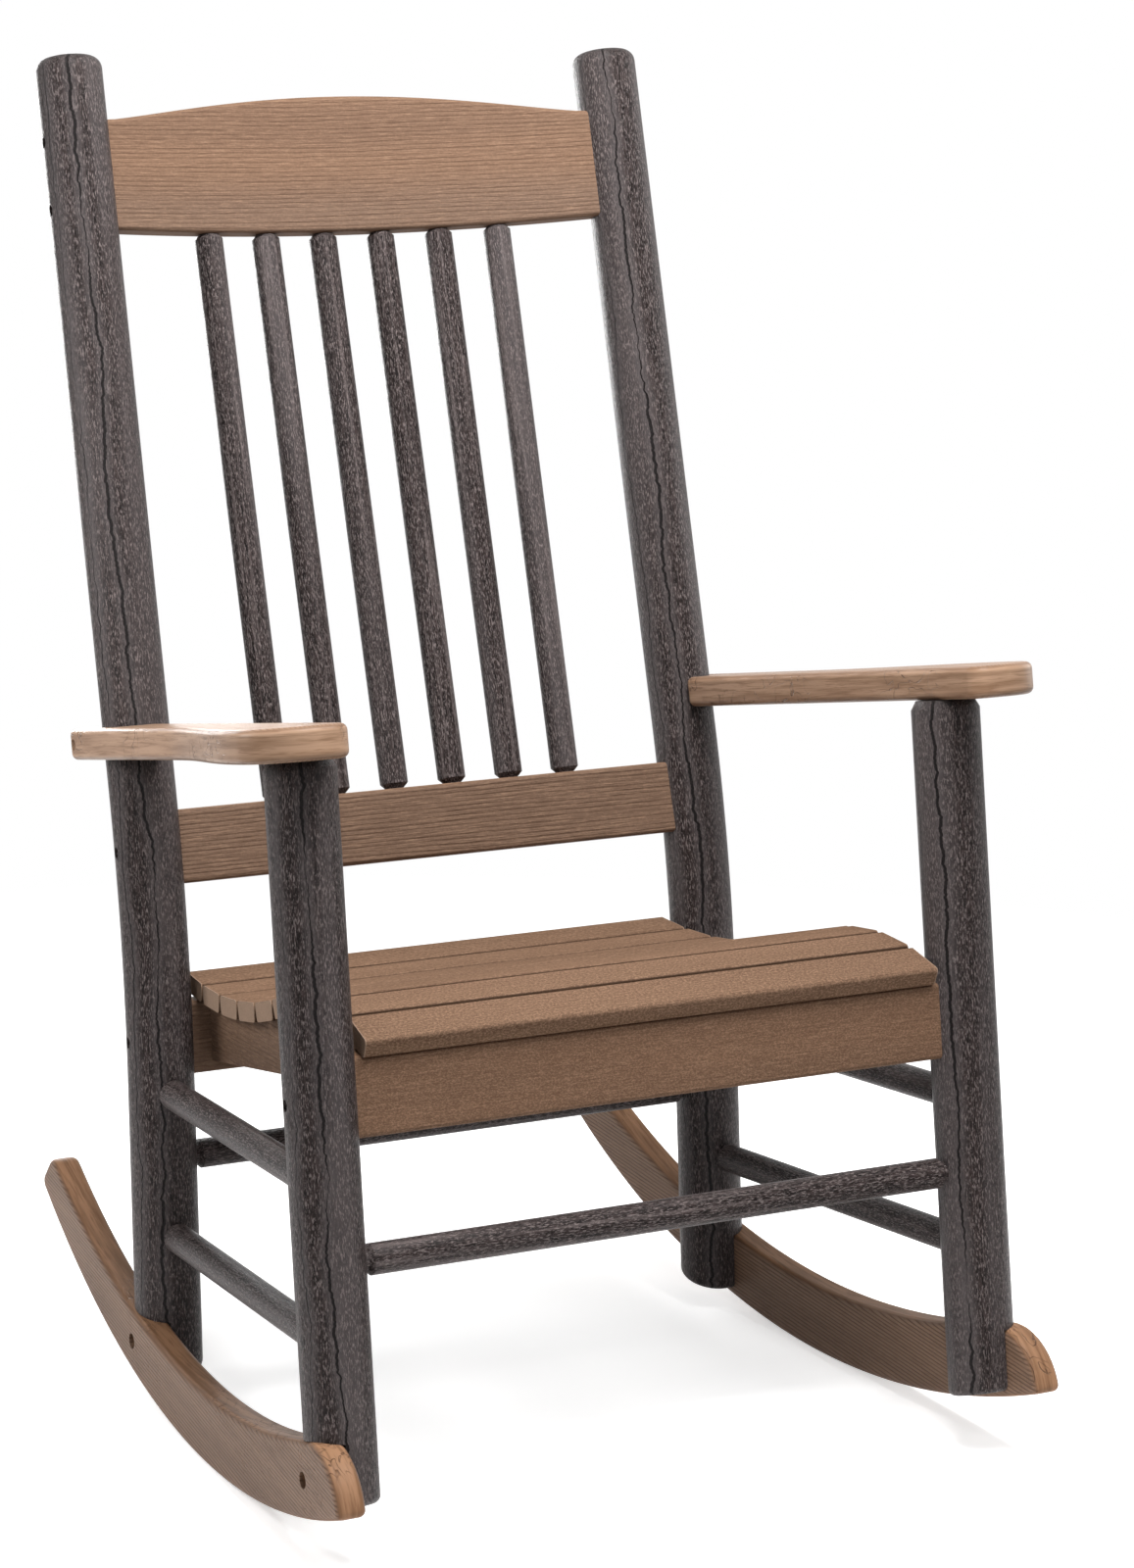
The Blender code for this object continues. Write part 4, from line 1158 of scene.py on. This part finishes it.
# Rocker and arm screws
for label, side in SIDES:
    for tag, axis_of in (("front", front_axis), ("rear", rear_axis)):
        y = axis_of(ROCKER_SCREW_Z).y + ROCKER_SCREW_BACK
        z = (rocker_top(y) + on_arc(math.asin((y - ARC_Y) / ARC_R)).z) / 2
        surface = Vector((side * (ROCKER_IN_X + ROCKER_TOE * y + ROCKER_T), y, z))
        bore(label + "_rocker_" + tag, surface, Vector((-side, 0, 0)), ROCKER_BORE_R, rockers[label])
    middle = back_axis(arm_rear_d, side) + back_up(side) * (ARM_T / 2)
    for tag, turn in zip(("front", "rear"), ARM_SCREW_TURNS):
        outward = Vector((side * math.cos(turn), math.sin(turn), ARM_SLOPE * math.sin(turn)))
        to_side = (ARM_PRONG_X - abs(middle.x)) / math.cos(turn)
        to_end = (ARM_REAR_Y - middle.y) / math.sin(turn)
        surface = middle + outward * min(to_side, to_end)
        bore(label + "_armrest_" + tag, surface, -outward, BORE_R, arms[label])

# The stand tilts the upright frame, sets the rockers' arc on the floor and the front stretcher where
# the frame has it
tilt = Matrix.Rotation(-REST_TILT, 4, "X")
low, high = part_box("front_stretcher")
shift_y = (low[1] + high[1]) / 2 - (tilt @ front_axis(FRONT_STRETCHER_Z)).y
shift_z = ARC_R - (tilt @ on_arc(0, 0)).z
STAND = Matrix.Translation((0, shift_y, shift_z)) @ tilt

# The cuts are applied, and every piece is moved, painted and put under the chair's body, and its solid is
# hidden
bpy.context.view_layer.update()
graph = bpy.context.evaluated_depsgraph_get()
meshes = [bpy.data.meshes.new_from_object(item[0].evaluated_get(graph)) for item in made]
for index, (item, mesh) in enumerate(zip(made, meshes)):
    piece, paint, slot, grain, routed = item
    piece.modifiers.clear()
    piece.data = mesh
    mesh.name = piece.name
    shift = Vector((GRAIN_SHIFT * index % GRAIN_SPAN, 0, 0))
    spots = [v.co.copy() for v in mesh.vertices]
    along = [value for p in spots for value in grain(p) + shift]
    mesh.attributes.new("grain", "FLOAT_VECTOR", "POINT")
    mesh.attributes["grain"].data.foreach_set("vector", along)
    mesh.attributes.new("routed", "FLOAT", "POINT")
    mesh.attributes["routed"].data.foreach_set("value", [routed(p) for p in spots])
    mesh.transform(STAND)
    mesh.materials.clear()
    mesh.materials.append(paint)
    mesh.shade_smooth()
    mesh.set_sharp_from_angle(angle=SHARP_ANGLE)
    mod = piece.modifiers.new("even_normals", "WEIGHTED_NORMAL")
    mod.keep_sharp = True
    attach(piece, "root")
    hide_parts(piece.name[len(LOOK):])
for cutter in list(cutters.objects):
    bpy.data.objects.remove(cutter, do_unlink=True)
bpy.data.collections.remove(cutters)

# The screws of the frame get their steel
for name in frame["nodes"]:
    if name.endswith("_screw"):
        for slot in bpy.data.objects[name].material_slots:
            slot.material = STEEL


def background_rays(nodes, links):
    """1 for the rays that show the background: those of the camera, of gloss and of glass."""
    path = nodes.new("ShaderNodeLightPath")
    shown = path.outputs["Is Camera Ray"]
    for name in ("Is Glossy Ray", "Is Transmission Ray"):
        either = nodes.new("ShaderNodeMath")
        either.operation = "MAXIMUM"
        links.new(shown, either.inputs[0])
        links.new(path.outputs[name], either.inputs[1])
        shown = either.outputs[0]
    return shown


# Floor, which fades out into the white background between two distances from its middle, and glows
# by the lift for the rays that show the background
FLOOR_SIDES = 96
FLOOR_R = 2.4
FLOOR_PALE = (0.95, 0.95, 0.95, 1)
FLOOR_GONE = 1.9
FLOOR_FULL = 0.8
FLOOR_LIFT = 0.52
WHITE = (1, 1, 1, 1)

bpy.ops.mesh.primitive_circle_add(
    vertices=FLOOR_SIDES, radius=FLOOR_R, fill_type="NGON", location=(0, 0, 0))
floor = bpy.context.object
floor.name = "floor"
pale = bpy.data.materials.new("pale_floor")
pale.use_nodes = True
nodes, links = pale.node_tree.nodes, pale.node_tree.links
shader = nodes["Principled BSDF"]
shader.inputs["Base Color"].default_value = FLOOR_PALE
shader.inputs["Roughness"].default_value = 1.0
shader.inputs["Specular IOR Level"].default_value = 0.0
spot = nodes.new("ShaderNodeNewGeometry")
length = nodes.new("ShaderNodeVectorMath")
length.operation = "LENGTH"
links.new(spot.outputs["Position"], length.inputs[0])
fade = nodes.new("ShaderNodeMapRange")
fade.inputs["From Min"].default_value = FLOOR_GONE
fade.inputs["From Max"].default_value = FLOOR_FULL
links.new(length.outputs["Value"], fade.inputs["Value"])
links.new(fade.outputs[0], shader.inputs["Alpha"])
lift = nodes.new("ShaderNodeMath")
lift.operation = "MULTIPLY"
lift.inputs[1].default_value = FLOOR_LIFT
links.new(background_rays(nodes, links), lift.inputs[0])
shader.inputs["Emission Color"].default_value = WHITE
links.new(lift.outputs[0], shader.inputs["Emission Strength"])
floor.data.materials.append(pale)


# Lamps: name, place, the point it faces, its size, and its power in watts
LAMPS = (
    ("key", (0.05, -0.7, 2.6), (0.05, 0.25, 0.9), 1.2, 101),
    ("top", (0.4, -0.2, 2.6), (0, 0.0, 0.5), 2.0, 8),
    ("left", (-2.3, -1.4, 1.9), (0, 0.3, 0.95), 0.9, 14),
    ("front", (-0.6, -2.6, 2.4), (0, 0.3, 0.9), 0.9, 17),
    ("kicker", (-1.0, 0.25, 0.85), (-0.37, -0.02, 0.66), 0.35, 5.5),
    ("right", (2.6, 0.5, 1.1), (0, 0.1, 0.6), 1.2, 14),
    ("back", (0.1, 2.4, 0.9), (0, 0.2, 0.6), 0.9, 30),
)


def area_light(name, spot, target, size, power):
    data = bpy.data.lights.new(name, "AREA")
    data.shape = "SQUARE"
    data.size = size
    data.energy = power
    lamp = bpy.data.objects.new(name, data)
    lamp.location = spot
    lamp.rotation_euler = (Vector(target) - Vector(spot)).to_track_quat("-Z", "Y").to_euler()
    bpy.context.scene.collection.objects.link(lamp)


for row in LAMPS:
    area_light(*row)

# World: a dim dome lights the chair, and the background shows white
DOME_STRENGTH = 0.13
WHITE_STRENGTH = 1.0

world = bpy.data.worlds.new("studio")
bpy.context.scene.world = world
world.use_nodes = True
nodes, links = world.node_tree.nodes, world.node_tree.links
nodes.clear()
pick = nodes.new("ShaderNodeMixShader")
links.new(background_rays(nodes, links), pick.inputs[0])
for k, strength in ((1, DOME_STRENGTH), (2, WHITE_STRENGTH)):
    shade = nodes.new("ShaderNodeBackground")
    shade.inputs["Color"].default_value = WHITE
    shade.inputs["Strength"].default_value = strength
    links.new(shade.outputs[0], pick.inputs[k])
sky = nodes.new("ShaderNodeOutputWorld")
links.new(pick.outputs[0], sky.inputs["Surface"])

# Camera, fitted to the photograph in the upright frame: lens and sensor in millimetres, and its place
LENS_MM = 97.97
SENSOR_MM = 36
VIEW = Matrix((
    (0.88730, 0.08750, -0.45281, -1.67099),
    (-0.46079, 0.12727, -0.87835, -3.28100),
    (-0.01923, 0.98800, 0.15324, 1.13835),
    (0, 0, 0, 1),
))

lens = bpy.data.cameras.new("camera")
lens.lens = LENS_MM
lens.sensor_width = SENSOR_MM
camera = bpy.data.objects.new("camera", lens)
bpy.context.scene.collection.objects.link(camera)
bpy.context.scene.camera = camera
camera.matrix_world = STAND @ VIEW
bpy.context.scene.view_settings.view_transform = "Standard"
